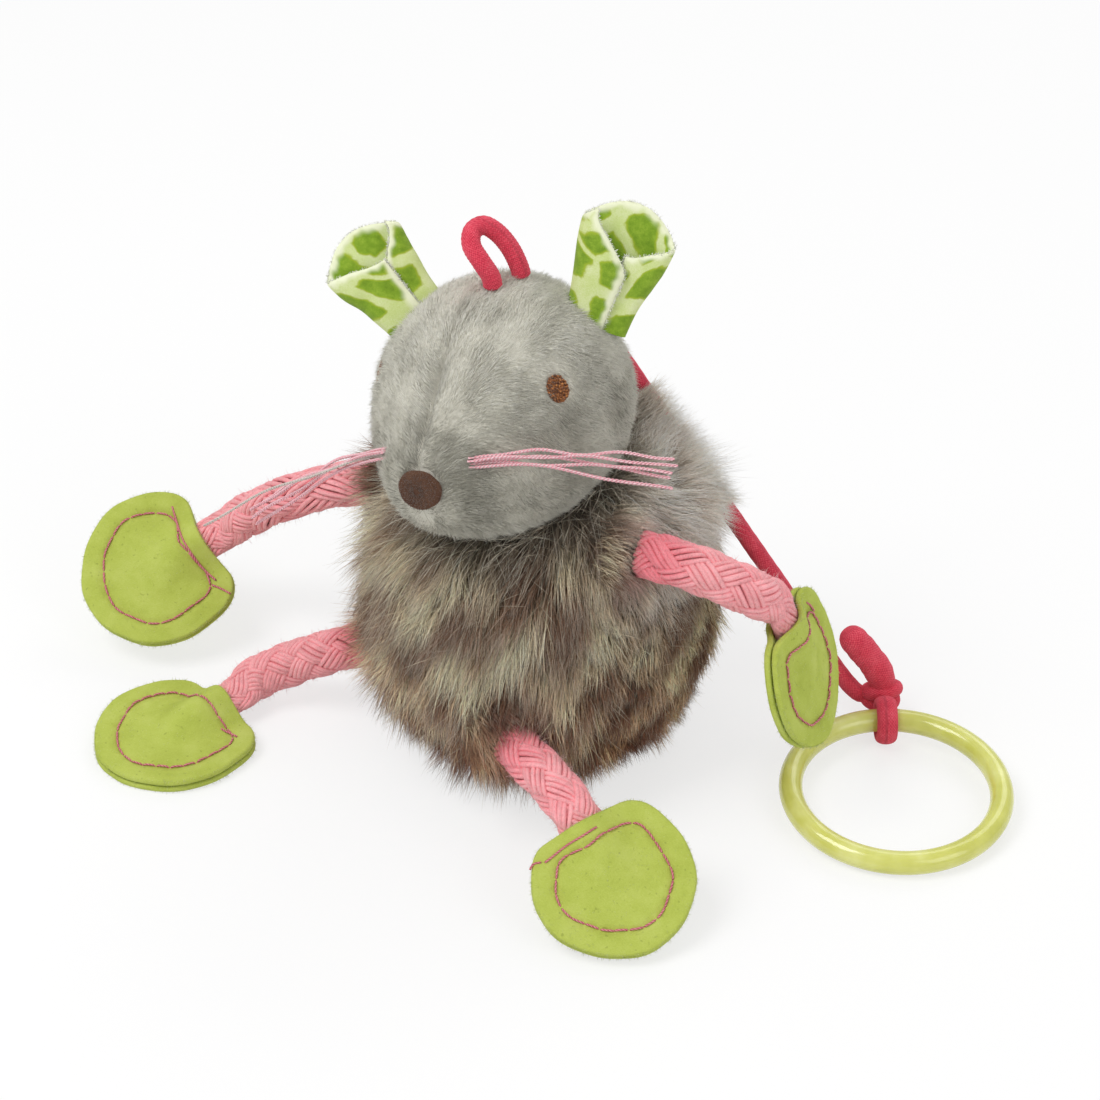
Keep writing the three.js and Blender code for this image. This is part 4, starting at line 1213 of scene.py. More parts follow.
def fur_tone(lines, clump, wild, draw):
    """Each hair's colour at its root, middle and tip: dark root, cream or olive middle, often a dark brown tip.

    Cream and dark tips lie in upright patches about 5 wide and 9 high, each worked out where that part of
    the hair lies, with a share of each clump's own. Under the chin the hairs are painted dark as shade from the
    head, with pale ones across them; low down they are browner; high on the cord's side pale; beside a limb
    they turn pinker.
    """
    root, middle, tip = lines[:, 0], lines[:, 1], lines[:, 2]
    count = len(root)
    # chin: how near a hair's root lies under the head, where the head's shade is painted onto the fur.
    chin = 1 - smooth((head_depth(in_head(root)) - 0.5) / 8)
    low = smooth((46 - root[:, 2]) / 36)
    pale = pale_side(root)
    cream = np.clip(0.36 + 0.95 * mottle(middle * [1, 1, 0.5], 8.5, 21) - 0.06 * low
                    + 0.24 * draw.uniform(-1, 1, clump_count)[clump] + draw.normal(size=count) * 0.12, 0, 1)
    spot = 0.8 * mottle(tip * [1, 1, 0.62], 8, 24) + 0.34 * draw.uniform(-1, 1, clump_count)[clump]
    likely = mixed(0.05, 0.96, smooth((spot + 0.3) / 0.55)) * np.clip(0.38 + 0.8 * low - 0.9 * pale, 0.05, 1)
    dark = (draw.uniform(size=count) < likely)[:, None]
    belly = mixed(shade("#8E6C55"), shade("#FFEEC9"), cream[:, None])
    belly = mixed(belly, belly * [1.12, 0.81, 0.67], low[:, None])
    end = np.where(dark, mixed(belly, shade("#43211C"), 0.97), mixed(belly, shade("#FFF8EA"), 0.55))
    belly = np.where(dark, mixed(belly, shade("#43211C"), 0.3), belly)
    tone = np.stack([mixed(shade("#726050"), belly, 0.3), belly, end], 1)
    fluffy = np.array([shade(code) for code in ("#D2C4B2", "#F8EEE0", "#FFFDF6")])
    tone = mixed(tone, fluffy[None], (0.95 * pale * np.clip(0.75 + 0.5 * cream, 0.5, 1))[:, None, None])
    # Painted shade under the chin: dark hairs there, while the pale ones across them keep their own colour.
    under = mixed(shade("#7A7062"), shade("#B2A692"), draw.uniform(0, 1, (count, 1)) ** 2)
    under = np.where(wild[:, None] | (draw.uniform(size=(count, 1)) < 0.06), shade("#F4EEE0"), under)[:, None]
    tone = mixed(tone, under, (0.85 * chin)[:, None, None])
    tone = np.where(wild[:, None, None], mixed(tone, shade("#F2E8D2"), 0.6), tone)
    tone = tone * draw.uniform(0.96, 1.34, (count, 1, 1))
    # Beside each limb the hair is tinted pinker.
    for line in limb_lines:
        near = np.linalg.norm(root[:, None] - line[None, :3], axis=2).min(1)
        blush = 0.25 * (1 - smooth((near - 5) / 4))[:, None, None]
        tone = mixed(tone, shade("#C65A66"), blush)
    return tone


def fur_tufts(name, roots, lines, tone, width):
    """Pieces of hair that ride on the body, so many hairs at most in each, sorted round the body."""
    order = np.argsort(np.arctan2(roots[:, 1], roots[:, 0]))
    for number, part in enumerate(np.array_split(order, math.ceil(len(roots) / hairs_a_piece))):
        p, q, t, tint = hairs(lines[part], width[part], tone[part], 100 + number)
        made = piece(f"{name}_{number + 1}", p, q, t, fur_hair, "body", tint=tint)
        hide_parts("body_cover")


def body_fur():
    """The long coat: hairs in clumps that draw together towards their tips, with stray hairs across them."""
    draw = np.random.default_rng(5)
    root = spread_on_egg(fur_count, 6, 0.35)
    root = root[(head_depth(in_head(root)) > 0.4) & (root[:, 2] > 0.9)]
    count = len(root)
    clump = nearest_of(root, clump_centres)
    clump_length = draw.uniform(0.82, 1.14, clump_count)
    clump_stray = draw.normal(size=(clump_count, 3)) * 0.2
    under_chin = 1 - smooth((head_depth(in_head(root)) - 1) / 9)
    length, lift = coat(root)
    length = length * clump_length[clump] * draw.uniform(0.7, 1.12, count) * (1 + 0.14 * mottle(root, 15, 23))
    lift = np.clip(lift + 0.16 * draw.normal(size=count), 0.1, 1.6)
    wild = draw.uniform(size=count) < 0.05 + 0.12 * under_chin
    length = length * np.where(wild, 1 + 0.25 * under_chin, 1)
    lift = lift + 0.4 * wild * under_chin
    stray = clump_stray[clump] + draw.normal(size=(count, 3)) * np.where(wild, 0.95, 0.25)[:, None]
    lines = fur_line(root, length, lift, stray)
    length, lift = coat(clump_centres)
    guide = fur_line(clump_centres, length * clump_length, lift, clump_stray)
    pull = draw.uniform(0.1, 0.42, clump_count)[clump] * ~wild
    hold = (pull[:, None] * np.array([0, 0.3, 0.85]))[..., None]
    lines = lines + (guide[clump] - lines) * hold
    lines[:, 1:] = clear_of_head(lines[:, 1:], head_clearance)
    bare_from = [0, 2, 2, 2]
    bare_lines = [line[n:] for line, n in zip(limb_lines, bare_from)]
    lines[:, 1:] = clear_of_lines(lines[:, 1:], bare_lines, braid_clearance)
    lines[:, 1:] = clear_of_lines(lines[:, 1:], [cord_path[::3]], cord_clearance)
    floor = 0.25 + 1.2 * draw.uniform(size=(count, 1)) ** 2 * np.array([0, 1, 1])
    lines[..., 2] = np.maximum(lines[..., 2], floor)
    width = draw.uniform(0.06, 0.1, count) * np.where(wild, 0.8, 1)
    fur_tufts("body_fur", root, lines, fur_tone(lines, clump, wild, draw), width)


def fur_collars():
    """Tufts round each limb's root that lie along the braid: they spring from a ring about the limb's start."""
    draw = np.random.default_rng(15)
    roots, lines = [], []
    for line, share in zip(limb_lines, (0.55, 1, 0.9, 1)):
        count = 1400
        along = unit(line[2] - line[0])
        right, up = sides_of(along, [0, 0, 1])
        turn = draw.uniform(0, 2 * math.pi, count)[:, None]
        out = right * np.cos(turn) + up * np.sin(turn)
        nearest = 4.6
        reach = draw.uniform(nearest, 8.0, (count, 1))
        start = line[0] + out * reach - along * (1.5 + (reach - nearest) * 0.8 + draw.uniform(0, 3, (count, 1)))
        way = unit(along + out * draw.uniform(0.05, 0.4, (count, 1)) + draw.normal(size=(count, 3)) * 0.22)
        length = draw.uniform(6.0, 11.0, (count, 1)) * share
        points = [start]
        for drop in (-0.05, -0.25):
            points.append(points[-1] + unit(way + [0, 0, drop]) * length / 2)
        hair = np.stack(points, 1)
        off = hair - line[0]
        run = off @ along
        radial = off - run[..., None] * along
        gap = np.linalg.norm(radial, axis=2, keepdims=True)
        hair = hair + unit(radial) * np.maximum(collar_clearance - gap, 0)
        roots.append(start)
        lines.append(hair)
    roots, lines = np.vstack(roots), np.vstack(lines)
    lines[..., 2] = np.maximum(lines[..., 2], 0.3)
    clump = nearest_of(roots, clump_centres)
    tone = fur_tone(lines, clump, np.zeros(len(roots), bool), draw)
    fur_tufts("limb_collar_fur", roots, lines, tone, draw.uniform(0.06, 0.09, len(roots)))


def cord_cover():
    """Hairs that stand up before the cord on the pale shoulder, and fall over it: root, bend and tip.

    Each bends at a place just in front of the cord, seen from the front left, and springs from the skin
    nearest to that place.
    """
    draw = np.random.default_rng(19)
    count = 2400
    covered = cord_path[16:53]
    along = unit(covered[-1] - covered[0])
    place = covered[draw.integers(0, len(covered), count)] + along * draw.uniform(-0.4, 0.4, (count, 1))
    front = unit([0.35, -0.75, 0.57])
    beside = np.cross(front, along)
    bend = place + front * draw.uniform(2.4, 4.6, (count, 1)) + beside * draw.uniform(-2.6, 2.2, (count, 1))
    root = bend
    mean_radius = 28
    for _ in range(4):
        root = root - egg_normal(root) * ((egg_level(root) - 1) * mean_radius)[:, None]
    way = unit(fur_flow(root) + egg_normal(root) * 0.5 + beside * 0.5 + draw.normal(size=(count, 3)) * 0.35)
    lines = np.stack([root, bend, bend + way * draw.uniform(2, 4.5, (count, 1))], 1)
    lines[:, 1:] = clear_of_head(lines[:, 1:], head_clearance)
    lines[:, 1:] = clear_of_lines(lines[:, 1:], [cord_path[::3]], cord_clearance)
    clump = nearest_of(root, clump_centres)
    tone = fur_tone(lines, clump, draw.uniform(size=count) < 0.06, draw)
    fur_tufts("cord_cover_fur", root, lines, tone, draw.uniform(0.06, 0.09, count))


body_fur()
fur_collars()
cord_cover()


# ---- Head skin and plush pile
seam_half = 0.04
head_wall = 1.1
plush_count = 42000


def seam_open(points):
    """How open the seam is: it shows from the brow to the nose, and elsewhere the pile closes over it."""
    return 0.2 + 0.8 * smooth((-points[..., 1] - 12) / 8) * smooth((points[..., 2] + 8) / 5)


def seam_sink(points):
    """How deep the surface rolls in towards the seam at the head's middle."""
    return 0.8 * seam_open(points) * np.exp(-(np.abs(points[..., 0]) / 1.2) ** 1.4)


def head_skin(side, name, node):
    """Half the head's skin: a sheet from the top seam round to the bottom seam, with a wall 1.1 thick.

    The sheet's rows run from the back to the snout's tip. It rolls in at the seam, and lies on the body
    where the head rests on it. The inner face is the same sheet, one wall further in.
    """
    profile = head_profile(110)[1:-1]
    angle = np.linspace(0, math.pi, 90)[None]
    forward, radius = profile[:, :1], np.maximum(profile[:, 1:], 0.12)
    grid = head_surface(forward + 0 * angle, radius + 0 * angle, angle + 0 * radius)
    grid[..., 0] = side * (seam_half + np.abs(grid[..., 0]) * (1 - seam_half / 30))
    facing = head_normal(grid)
    lumps = 0.25 * mottle(grid, 11, 31)
    outer = grid + facing * (lumps - 0.25 - seam_sink(grid))[..., None]
    inner = outer - facing * head_wall
    outer[..., 0] = side * np.maximum(side * outer[..., 0], 0.03)
    inner[..., 0] = side * np.maximum(side * inner[..., 0], 0.03)
    shell = np.stack([outer, inner])
    world = from_head(shell)
    world[0] = off_the_body(world[0], 0.35)
    world[1] = off_the_body(world[1], 0.6)
    quads = walled(*grid.shape[:2])[0]
    made = piece(name, world, quads, [], plush_skin, "head")
    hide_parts(node)


def plush_roots(side, count, draw):
    """Places spread evenly by area over half the head, but not under a patch or where the body lies."""
    profile = head_profile(600)
    band = profile[:, 1] * np.linalg.norm(np.gradient(profile, axis=0), axis=1)
    area = np.cumsum(band) / band.sum()
    order = (np.arange(count) + draw.uniform(0, 1, count)) / count
    forward = np.interp(order, area, profile[:, 0])
    radius = np.interp(order, area, profile[:, 1])
    angle = np.mod(np.arange(count) * GOLDEN_TURN / 2, math.pi)
    root = head_surface(forward, radius, angle)
    root[:, 0] *= side
    root = root[np.abs(root[:, 0]) > 0.05]
    free = egg_level(from_head(root), 0.4) > 1
    for centre, half in patch_places:
        free &= np.linalg.norm((root - centre) / half, axis=1) > 1
    return root[free]


def plush_pile(side, count, seed, name):
    """Short plush hairs: they lean back from the nose and down the cheeks, and away from the seam."""
    draw = np.random.default_rng(seed)
    root = plush_roots(side, count, draw)
    facing = head_normal(root)
    count = len(root)
    sink = seam_sink(root)
    cheek = smooth((np.abs(root[:, 0]) - 6) / 12)
    apart = (seam_open(root) - 0.35) * np.exp(-(root[:, 0] / 2.2) ** 2)
    way = np.stack([side * (0.2 + 0.9 * apart), 0.9 - 0.3 * cheek, 0.25 - 1.0 * cheek], 1)
    swirl = mottle(root, 17, 35)[:, None] * 0.5
    way = way - facing * np.sum(way * facing, 1, keepdims=True)
    way = unit(way) + np.cross(facing, unit(way)) * swirl + draw.normal(size=(count, 3)) * 0.2
    tuft = 0.5 + 0.5 * mottle(root, 2.2, 36)
    lean = unit(way + facing * (0.3 + 0.25 * tuft)[:, None])
    length = draw.uniform(1.7, 2.6, count) * (0.8 + 0.35 * tuft)
    start = root - facing * (0.3 + 0.8 * sink)[:, None]
    tip = start + lean * length[:, None]
    lines = from_head(np.stack([start, tip], 1))
    lines[:, 1] = off_the_body(lines[:, 1], 0.4)
    # The pile is painted lighter towards the top of the head, as light falling from above, and along streaks
    # that follow the pile, as painted sheen; its mottle and tufts are its own uneven tone.
    streak = mottle(root * [1, 0.35, 0.8], 3.5, 38)
    crown = smooth((root[:, 2] + 2) / 18)
    light = np.clip(0.22 + 0.2 * mottle(root, 12, 37) + 0.2 * (tuft - 0.5) + 0.2 * streak + 0.7 * crown
                    + draw.normal(size=count) * 0.1, 0, 1)
    low = mixed(shade("#A9A698"), shade("#F6F3E5"), light[:, None])
    high = mixed(shade("#B9B6A8"), shade("#FFFEF5"), light[:, None])
    # Painted shade: the pile is darker along the open seam, where it rolls into a groove.
    seam_groove_shade = 1 - ((0.24 + 0.12 * mottle(root, 6, 39)) * seam_open(root)
                  * np.exp(-(root[:, 0] / 1.2) ** 2))[:, None]
    tone = np.stack([low, high], 1) * seam_groove_shade[:, None] * draw.uniform(0.92, 1.08, (count, 1, 1))
    p, q, t, tint = hairs(lines, draw.uniform(0.06, 0.085, count), tone, seed + 1)
    piece(name, p, q, t, plush_hair, "head", tint=tint)


# ---- Nose and eyes: patches that follow the head's surface
def patch_frame(facing):
    """Two directions across a facing, and the facing itself."""
    facing = unit(facing)
    right = unit(np.cross([0, 0, 1], facing))
    return right, np.cross(facing, right), facing


nose_radius = 4.15
nose_thickness = 1.2
nose_facing = unit([0.09, -math.cos(math.radians(13)), math.sin(math.radians(13))])
nose_middle = np.array([0, -snout_length * 0.75, -muzzle_drop])
eye_ways = {"left": unit([19.5, -11.8, 8.8]), "right": unit([-19.5, -11.8, 8.8])}
nose_spot = head_reached(nose_middle[None], nose_facing[None])[0]
eye_spots = {key: head_reached(np.zeros((1, 3)), way[None])[0] for key, way in eye_ways.items()}
patch_places = [(nose_spot, 3.8), (eye_spots["left"], 2.2), (eye_spots["right"], 1.5)]


def nose():
    """A felt disc: its back follows the snout, its face is a little domed, its edge is round."""
    right, up, facing = patch_frame(nose_facing)
    angle = circle(96)[None]
    rim = 0.35
    share, bend = disc_rows(0.03, 26, 4, 55)
    outline = nose_radius * (1 + 0.015 * np.sin(3 * angle + 1) + 0.01 * np.sin(7 * angle))
    reach = share * (outline - rim) + rim * np.cos(bend)
    flat = (right * (1.06 * reach * np.cos(angle))[..., None]
            + up * (0.9 * reach * np.sin(angle))[..., None]).reshape(-1, 3)
    skin = head_reached(nose_middle + flat, np.broadcast_to(facing, flat.shape))
    depth = ((skin - nose_middle) @ facing).reshape(reach.shape)
    level = mixed(depth.max(), depth, 0.75)
    through = 0.5 + 0.5 * np.sin(bend)
    dome = 0.35 * (1 - share ** 2) * through
    rise = level + 0.15 + through * nose_thickness + dome
    grid = nose_middle + flat.reshape(*reach.shape, 3) + facing * rise[..., None]
    p, q, t = rounded_grid(grid)
    made = piece("nose_felt", from_head(p), q, t, brown_felt, "head")
    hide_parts("nose_patch")
    draw = np.random.default_rng(51)
    count = 1300
    pick = draw.integers(4, 32, count)
    turn = draw.integers(0, 96, count)
    root = grid[pick, turn]
    out = unit(root - (nose_middle + facing * (level.mean() + 0.2)))
    tip = root + unit(out + draw.normal(size=(count, 3)) * 0.8) * draw.uniform(0.2, 0.6, (count, 1))
    lines = from_head(np.stack([root, tip], 1))
    fuzz("nose_fuzz", lines, 0.04, "#4E382D", "#8A6C58", draw, 52, "head")


def eye_knots(middle, right, up, facing, draw):
    """Small oval balls, each turned its own way, in rings over a low dome: knots by rows by 6 points."""
    knots = []
    for ring_share, number in ((0, 1), (0.27, 6), (0.52, 12), (0.77, 18), (0.98, 24)):
        turn = circle(number) + ring_share * 3
        knots.append(np.stack([ring_share * np.cos(turn), ring_share * np.sin(turn)], 1))
    spots = np.vstack(knots)
    many = len(spots)
    spots = spots + draw.normal(size=(many, 2)) * 0.03
    lift = 0.55 * np.sqrt(np.maximum(1 - (spots ** 2).sum(1) * 0.8, 0.05))
    centre = middle + right * (spots[:, :1] * 1.9) + up * (spots[:, 1:] * 2.35) + facing * lift[:, None]
    level = np.radians([-60, -20, 20, 60])[:, None]
    turn = circle(6)[None]
    ball = np.stack([np.cos(level) * np.cos(turn), np.cos(level) * np.sin(turn), np.sin(level) + 0 * turn], -1)
    size = draw.uniform(0.3, 0.42, (many, 1, 1, 1)) * np.array([1.15, 0.9, 0.9])
    twist = draw.uniform(0, math.pi, many)
    c, s = np.cos(twist), np.sin(twist)
    lump = ball[None] * size
    x = lump[..., 0] * c[:, None, None] - lump[..., 1] * s[:, None, None]
    y = lump[..., 0] * s[:, None, None] + lump[..., 1] * c[:, None, None]
    return centre[:, None, None] + right * x[..., None] + up * y[..., None] + facing * lump[..., 2:]


def eye(key, seed):
    """An embroidered oval: small knots of thread close together over a low dome."""
    right, up, facing = patch_frame(eye_ways[key])
    middle = eye_spots[key] - facing * (0.0 if key == "left" else 0.5)
    knots = eye_knots(middle, right, up, facing, np.random.default_rng(seed))
    half_wide, half_high = 2.1, 2.6
    turn = circle(40)[None]
    share = np.array([0.05, 0.5, 0.85, 1, 0.85, 0.5, 0.05])[:, None]
    rise = np.array([0.5, 0.42, 0.25, 0, -0.5, -0.6, -0.7])[:, None]
    dome = (middle + right * (share * half_wide * np.cos(turn))[..., None]
            + up * (share * half_high * np.sin(turn))[..., None] + facing * (rise + 0 * turn)[..., None])
    parts = [rounded_grid(one) for one in [*knots, dome]]
    p, q, t, _ = joined([(p, q, t, np.zeros((len(p), 2))) for p, q, t in parts])
    made = piece(f"eye_{key}_embroidery", from_head(p), q, t, eye_thread, "head")
    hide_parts(f"eye_{key}")


head_skin(1, "head_skin_left", "head_panel_left")
head_skin(-1, "head_skin_right", "head_panel_right")
plush_pile(1, plush_count, 33, "head_pile_left")
plush_pile(-1, plush_count, 43, "head_pile_right")
nose()
eye("left", 53)
eye("right", 54)


# ---- Ears: a rounded flannel panel, its two sides folded to the front, one lower than the other
ears = {
    "ear_left": dict(
        base=[17.3, 9, 13.1], up=[0.355, 0.41, 0.84], across=[0.83, 0.29, -0.46],
        length=22.5, base_width=11.5, top_width=17.5, low_side=1),
    "ear_right": dict(
        base=[-17, 0, 15.8], up=[-0.62, 0.03, 0.78], across=[0.54, 0.69, 0.47],
        length=19.5, base_width=11.5, top_width=17, low_side=-1),
}
ear_section = [
    [0.3, 1.14], [-0.3, 1.16], [-0.82, 0.92], [-1, 0.48], [-0.85, 0.08], [-0.4, 0], [0, 0],
    [0.4, 0], [0.85, 0.08], [1, 0.4], [0.88, 0.7], [0.5, 0.8], [0.12, 0.8],
]
flannel_half = 0.45


def ear_point(ear, across_share, height, out):
    """A point of the folded cloth: along its folded section, up the ear, and off the cloth's middle.

    The section is a spline of half widths and fold depths. The full flap ends further over at its foot
    than at its top; the low flap is cut down from its fold to its end.
    """
    up = unit(ear["up"])
    across = np.array(ear["across"], float)
    across = unit(across - up * (across @ up))
    facing = np.cross(across, up)
    low = ear["low_side"]
    share = across_share if low > 0 else 1 - across_share
    full_end = mixed(-0.1, 0.17, smooth((height - 0.1) / 0.9))
    share = np.where(share < 0.5, mixed(np.maximum(full_end, 0) * 0.9, 0.5, share / 0.5), share)
    cut = mixed(1, 0.62, smooth((share - 0.74) / 0.24))
    height = height * cut
    share = share if low > 0 else 1 - share
    here = even_spline(ear_section, share)
    step = 1e-3
    slope = (even_spline(ear_section, np.minimum(share + step, 1))
             - even_spline(ear_section, np.maximum(share - step, 0)))
    half = mixed(ear["base_width"], ear["top_width"], smooth(height)) / 2
    depth = 2.7 + (half - ear["base_width"] / 2) / 2
    x = here[..., 0] * half
    y = here[..., 1] * depth
    normal = unit(np.stack([slope[..., 0] * half, slope[..., 1] * depth], -1))
    rise = (ear["length"] + 2) * height * (1 - 0.2 * here[..., 0] ** 2 * smooth(height)) - 2
    x = x - normal[..., 1] * out
    y = y + normal[..., 0] * out
    return np.array(ear["base"]) + across * x[..., None] + facing * y[..., None] + up * rise[..., None]


def crisp_rim(mesh, rim, size):
    """Marks as sharp the edges that run along the rim of a walled sheet's face or back."""
    on_rim = np.zeros(2 * size, bool)
    on_rim[np.concatenate([rim, rim + size])] = True
    ends = np.zeros(2 * len(mesh.edges), np.int32)
    mesh.edges.foreach_get("vertices", ends)
    ends = ends.reshape(-1, 2)
    sharp = on_rim[ends].all(1) & ((ends[:, 0] < size) == (ends[:, 1] < size))
    mesh.attributes.new("sharp_edge", "BOOLEAN", "EDGE").data.foreach_set("value", sharp)


def ear_cloth(name, ear, seed):
    """The folded cloth as two faces half a thickness either side of its middle, joined round the rim."""
    columns, rows = 150, 60
    share = np.linspace(0, 1, columns)[None] + np.zeros((rows, 1))
    height = np.linspace(0.02, 1, rows)[:, None] + np.zeros((1, columns))
    middle = ear_point(ear, share, height, 0.0)
    widths = np.linalg.norm(np.diff(middle, axis=1), axis=2)
    u = np.concatenate([np.zeros((rows, 1)), np.cumsum(widths, axis=1)], 1)
    heights = np.linalg.norm(np.diff(middle, axis=0), axis=2)
    v = np.concatenate([np.zeros((1, columns)), np.cumsum(heights, axis=0)], 0)
    from_edge = np.minimum(np.minimum(u, u[:, -1:] - u), v[-1:] - v)
    half = flannel_half * np.sqrt(1 - (1 - np.clip(from_edge / 0.9, 0.02, 1)) ** 2)
    ripple = 0.18 * mottle(middle, 7, seed)
    faces = [ear_point(ear, share, height, ripple + side * half) for side in (1, -1)]
    world = from_head(np.stack(faces))
    size = rows * columns
    quads, rim = walled(rows, columns)
    uv = np.stack([u - u[:, columns // 2:columns // 2 + 1], v], -1).reshape(-1, 2) + [seed * 7.3, seed * 3.1]
    frayed = 1 - smooth((from_edge + 0.5 * mottle(middle, 2.5, seed + 1) - 0.3) / 1.5)
    frayed = np.repeat(frayed.reshape(-1, 1), 3, 1)
    made = piece(f"{name}_flannel", world, quads, [], flannel, name,
                 np.vstack([uv, uv]), np.vstack([frayed, frayed]))
    crisp_rim(made.data, rim, size)
    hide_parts(name)
    area = (widths[:-1] * heights[:, :-1]).sum()
    wide = float(widths.sum(1).max())
    raw_edge(name, middle, seed)


def raw_edge(name, middle, seed):
    """Fibres along the cloth's cut edges: its top and its two sides."""
    draw = np.random.default_rng(seed)
    rows, columns = middle.shape[:2]
    count = 1000
    which = draw.integers(0, 3, count)
    row = np.where(which == 0, rows - 1, draw.integers(3, rows, count))
    column = np.where(which == 0, draw.integers(0, columns, count), np.where(which == 1, 0, columns - 1))
    root = middle[row, column] + draw.normal(size=(count, 3)) * 0.1
    inward = middle[np.clip(row - 6, 0, rows - 1) * (which == 0) + row * (which != 0),
                    np.where(which == 0, column, np.where(which == 1, 8, columns - 9))]
    lean = unit(unit(root - inward) * 0.8 + draw.normal(size=(count, 3)) * 0.6)
    tip = root + lean * draw.uniform(0.2, 0.7, (count, 1))
    lines = from_head(np.stack([root, tip], 1))
    fuzz(f"{name}_raw_edge", lines, 0.085, "#F4F8DC", "#FFFFFA", draw, seed, name)


ear_cloth("ear_left", ears["ear_left"], 71)
ear_cloth("ear_right", ears["ear_right"], 72)


# ---- Hang loop and whiskers
def hang_loop():
    """A bight of cord with fine cross ribs: its radius rises and falls once in each rib's length."""
    rib = 0.7
    knots = from_head([
        [2.6, -1, 22.6], [2.6, -1, 25.1], [1.6, -1.6, 28.4], [-0.2, -1, 31.4], [-0.6, 0.9, 33.3],
        [0.5, 2.9, 33.6], [2, 4.5, 31.6], [3.6, 5.4, 28.2], [4.6, 5.7, 24.3], [4.8, 5.7, 21.8],
    ])
    line = route(knots, 0.14)
    run = run_of(line)
    radius = bulb(1.8, len(line), 8) * (1 + 0.018 * np.sin(run * 2 * math.pi / rib))
    p, q, t, uv = tubes([line], [radius], head_spin[:, 0] * 0.3 + head_spin[:, 1], 22)
    made = piece("hang_loop_cord", p, q, t, elastic_sleeve, "hang_loop", uv)
    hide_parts("hang_loop")


whiskers = {
    "left": dict(root=[10.4, -30.2, 1.6], grey=(), tips=[
        [40.8, -13.3, -8.9], [40.2, -12.5, -7.2], [40.8, -12.5, -6.2], [41.6, -11.5, -5.2], [41, -11.2, -4]]),
    "right": dict(root=[-10.4, -30.2, 1.6], grey=(1,), tips=[
        [-44.3, -27.8, -17.2], [-54.7, -30.8, -17], [-44, -28.9, -15.2], [-44.7, -28, -14],
        [-43, -26.1, -13.3]]),
}


def whisker_lines(fan, count):
    """Threads from one root: a low bow up to each tip, close together and crossing a little on the way."""
    bow = 0.04
    root = np.array(fan["root"], float)
    start = head_reached(np.array([[0, root[1] + 3, root[2]]]), unit([[root[0], -1.0, 0.0]]))[0]
    share = np.linspace(0, 1, count)[:, None]
    lines = []
    for i, tip in enumerate(fan["tips"]):
        first = start + np.array([0, 0.5 * (i % 3 - 1), 0.42 * (i - 2)])
        span = np.array(tip, float) - first
        line = first + span * share
        line[:, 2:] += bow * np.linalg.norm(span) * np.sin(math.pi * share ** 0.8)
        line[:, 2:] += 0.55 * np.sin(share * (6 + 2.1 * i) + 2.3 * i) * np.sin(math.pi * share)
        line[:, 1:2] += 0.4 * np.sin(share * (7 + 1.3 * i) + 1.4 * i) * np.sin(math.pi * share)
        line[0] -= unit(span) * 1.0
        lines.append(line)
    return np.array(lines)


def whisker_fan(key):
    """Two-ply threads: each ply winds round the thread's line, half a turn from the other."""
    fan = whiskers[key]
    lines = whisker_lines(fan, 240)
    right, up = sides_of(unit(np.gradient(lines, axis=1)), [0, 0, 1])
    run = np.linspace(0, 1, 240)[None] * np.linalg.norm(lines[:, -1] - lines[:, 0], axis=1)[:, None]
    ply_pitch, ply_reach = 1.5, 0.17
    sets = {"pink": [], "grey": []}
    for ply in (0, math.pi):
        turn = run * 2 * math.pi / ply_pitch + ply
        wound = lines + (right * np.cos(turn)[..., None] + up * np.sin(turn)[..., None]) * ply_reach
        for i, thread in enumerate(wound):
            sets["grey" if i in fan["grey"] else "pink"].append(thread)
    for colour, plies in sets.items():
        if not plies:
            continue
        world = from_head(np.array(plies))
        p, q, t, uv = tubes(world, 0.19 if colour == "pink" else 0.14, head_spin[:, 2], 5)
        finish = whisker_thread if colour == "pink" else grey_thread
        made = piece(f"whiskers_{key}_{colour}", p, q, t, finish, "head", uv)
        if colour == "pink":
            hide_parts(f"whiskers_{key}")


hang_loop()
whisker_fan("left")
whisker_fan("right")


# ---- CAD nodes that stay: the fillings, hidden inside their covers
for node in ("body_stuffing", "head_stuffing"):
    for hidden_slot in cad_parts[node].material_slots:
        hidden_slot.material = filling


# ---- Floor, lights and surroundings
def seen_by(tree, *rays):
    """A node's output that is 1 for rays of these kinds and 0 for all others."""
    path = add_node(tree, "ShaderNodeLightPath").outputs
    seen = path[rays[0]]
    for ray in rays[1:]:
        seen = add_node(tree, "ShaderNodeMath", {0: seen, 1: path[ray]}, operation="MAXIMUM").outputs[0]
    return seen


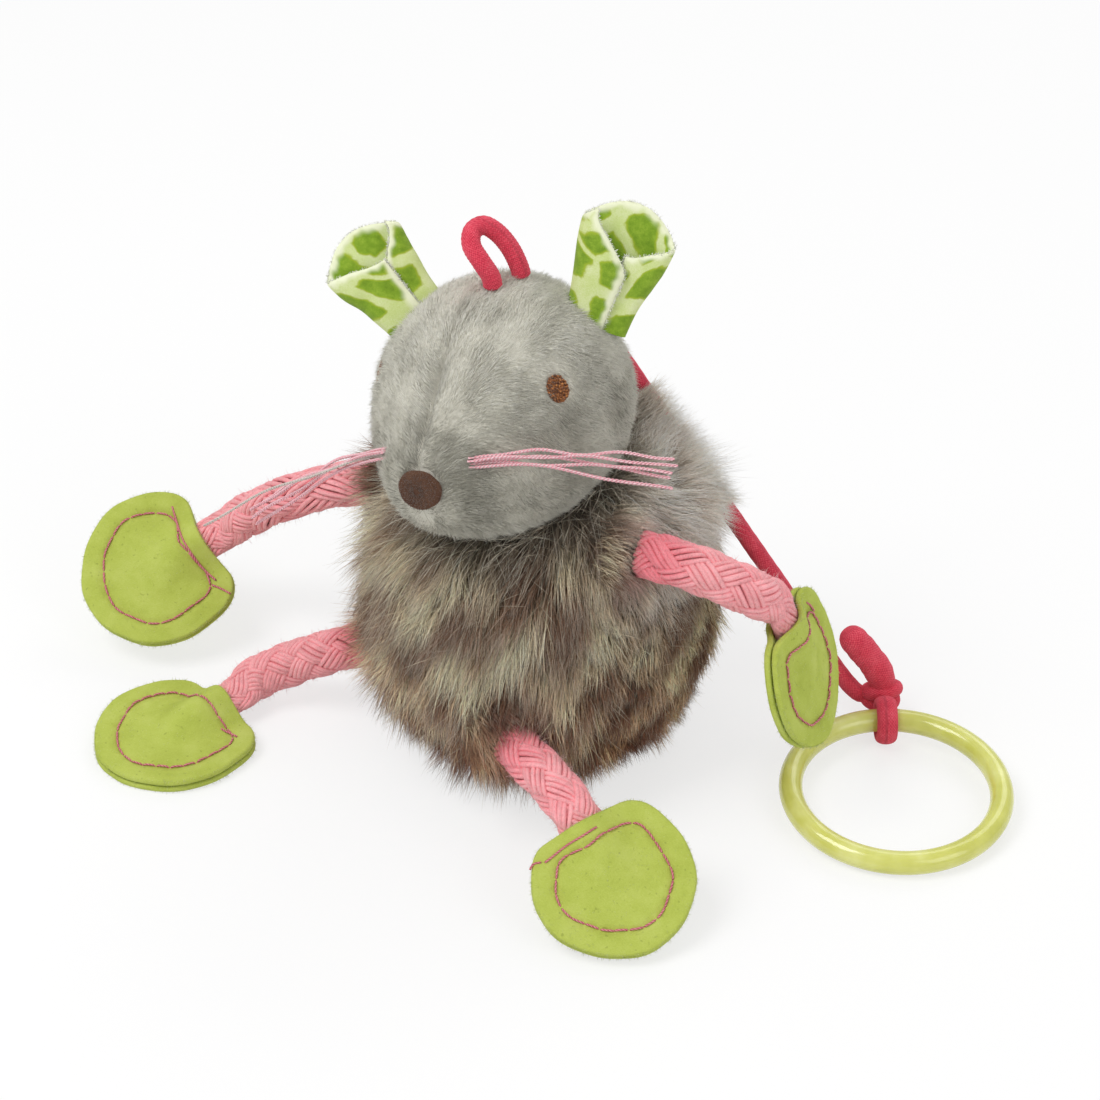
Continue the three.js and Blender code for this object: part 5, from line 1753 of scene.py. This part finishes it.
def studio_floor():
    """A pale sheet, just under the mouse, that glows a little where the camera sees it."""
    mesh = bpy.data.meshes.new("studio_floor")
    far, level = 3, -0.0002
    corners = [(-far, -far, level), (far, -far, level), (far, far, level), (-far, far, level)]
    mesh.from_pydata(corners, [], [(0, 1, 2, 3)])
    floor = bpy.data.objects.new("studio_floor", mesh)
    bpy.context.scene.collection.objects.link(floor)
    paper = bpy.data.materials.new("studio_paper")
    paper.use_nodes = True
    tree = paper.node_tree
    tree.nodes.clear()
    diffuse = add_node(tree, "ShaderNodeBsdfDiffuse", {"Color": (0.9, 0.9, 0.9, 1)})
    glow = add_node(tree, "ShaderNodeEmission", {"Strength": 1.02})
    seen = seen_by(tree, "Is Camera Ray", "Is Glossy Ray", "Is Transmission Ray")
    share = add_node(tree, "ShaderNodeMath", {0: seen, 1: 0.68}, operation="MULTIPLY")
    sockets = {0: share.outputs[0], 1: diffuse.outputs[0], 2: glow.outputs[0]}
    blend = add_node(tree, "ShaderNodeMixShader", sockets)
    add_node(tree, "ShaderNodeOutputMaterial", {0: blend.outputs[0]})
    mesh.materials.append(paper)


def studio_light():
    """Even light all round, brighter where the camera sees it, and three soft lamps."""
    world = bpy.data.worlds.new("studio_world")
    world.use_nodes = True
    tree = world.node_tree
    back = tree.nodes["Background"]
    back.inputs["Color"].default_value = (1, 1, 1, 1)
    seen = seen_by(tree, "Is Camera Ray", "Is Transmission Ray")
    level = add_node(tree, "ShaderNodeMapRange", {"Value": seen, "To Min": 0.52, "To Max": 1.0})
    tree.links.new(level.outputs[0], back.inputs["Strength"])
    bpy.context.scene.world = world
    for name, place, power in (
        ("key_lamp", (-0.36, -0.4, 0.88), 5.0),
        ("fill_lamp", (0.75, -0.25, 0.5), 1.5),
        ("back_lamp", (0.1, 0.7, 0.7), 1.5),
    ):
        data = bpy.data.lights.new(name, "AREA")
        data.size = 0.5
        data.energy = power
        lamp = bpy.data.objects.new(name, data)
        lamp.location = place
        aim = unit(np.array([0, 0, 0.04]) - np.array(place))
        lamp.rotation_euler = (math.acos(-aim[2]), 0, math.atan2(-aim[0], aim[1]))
        bpy.context.scene.collection.objects.link(lamp)


studio_floor()
studio_light()
bpy.context.scene.view_settings.view_transform = "Standard"
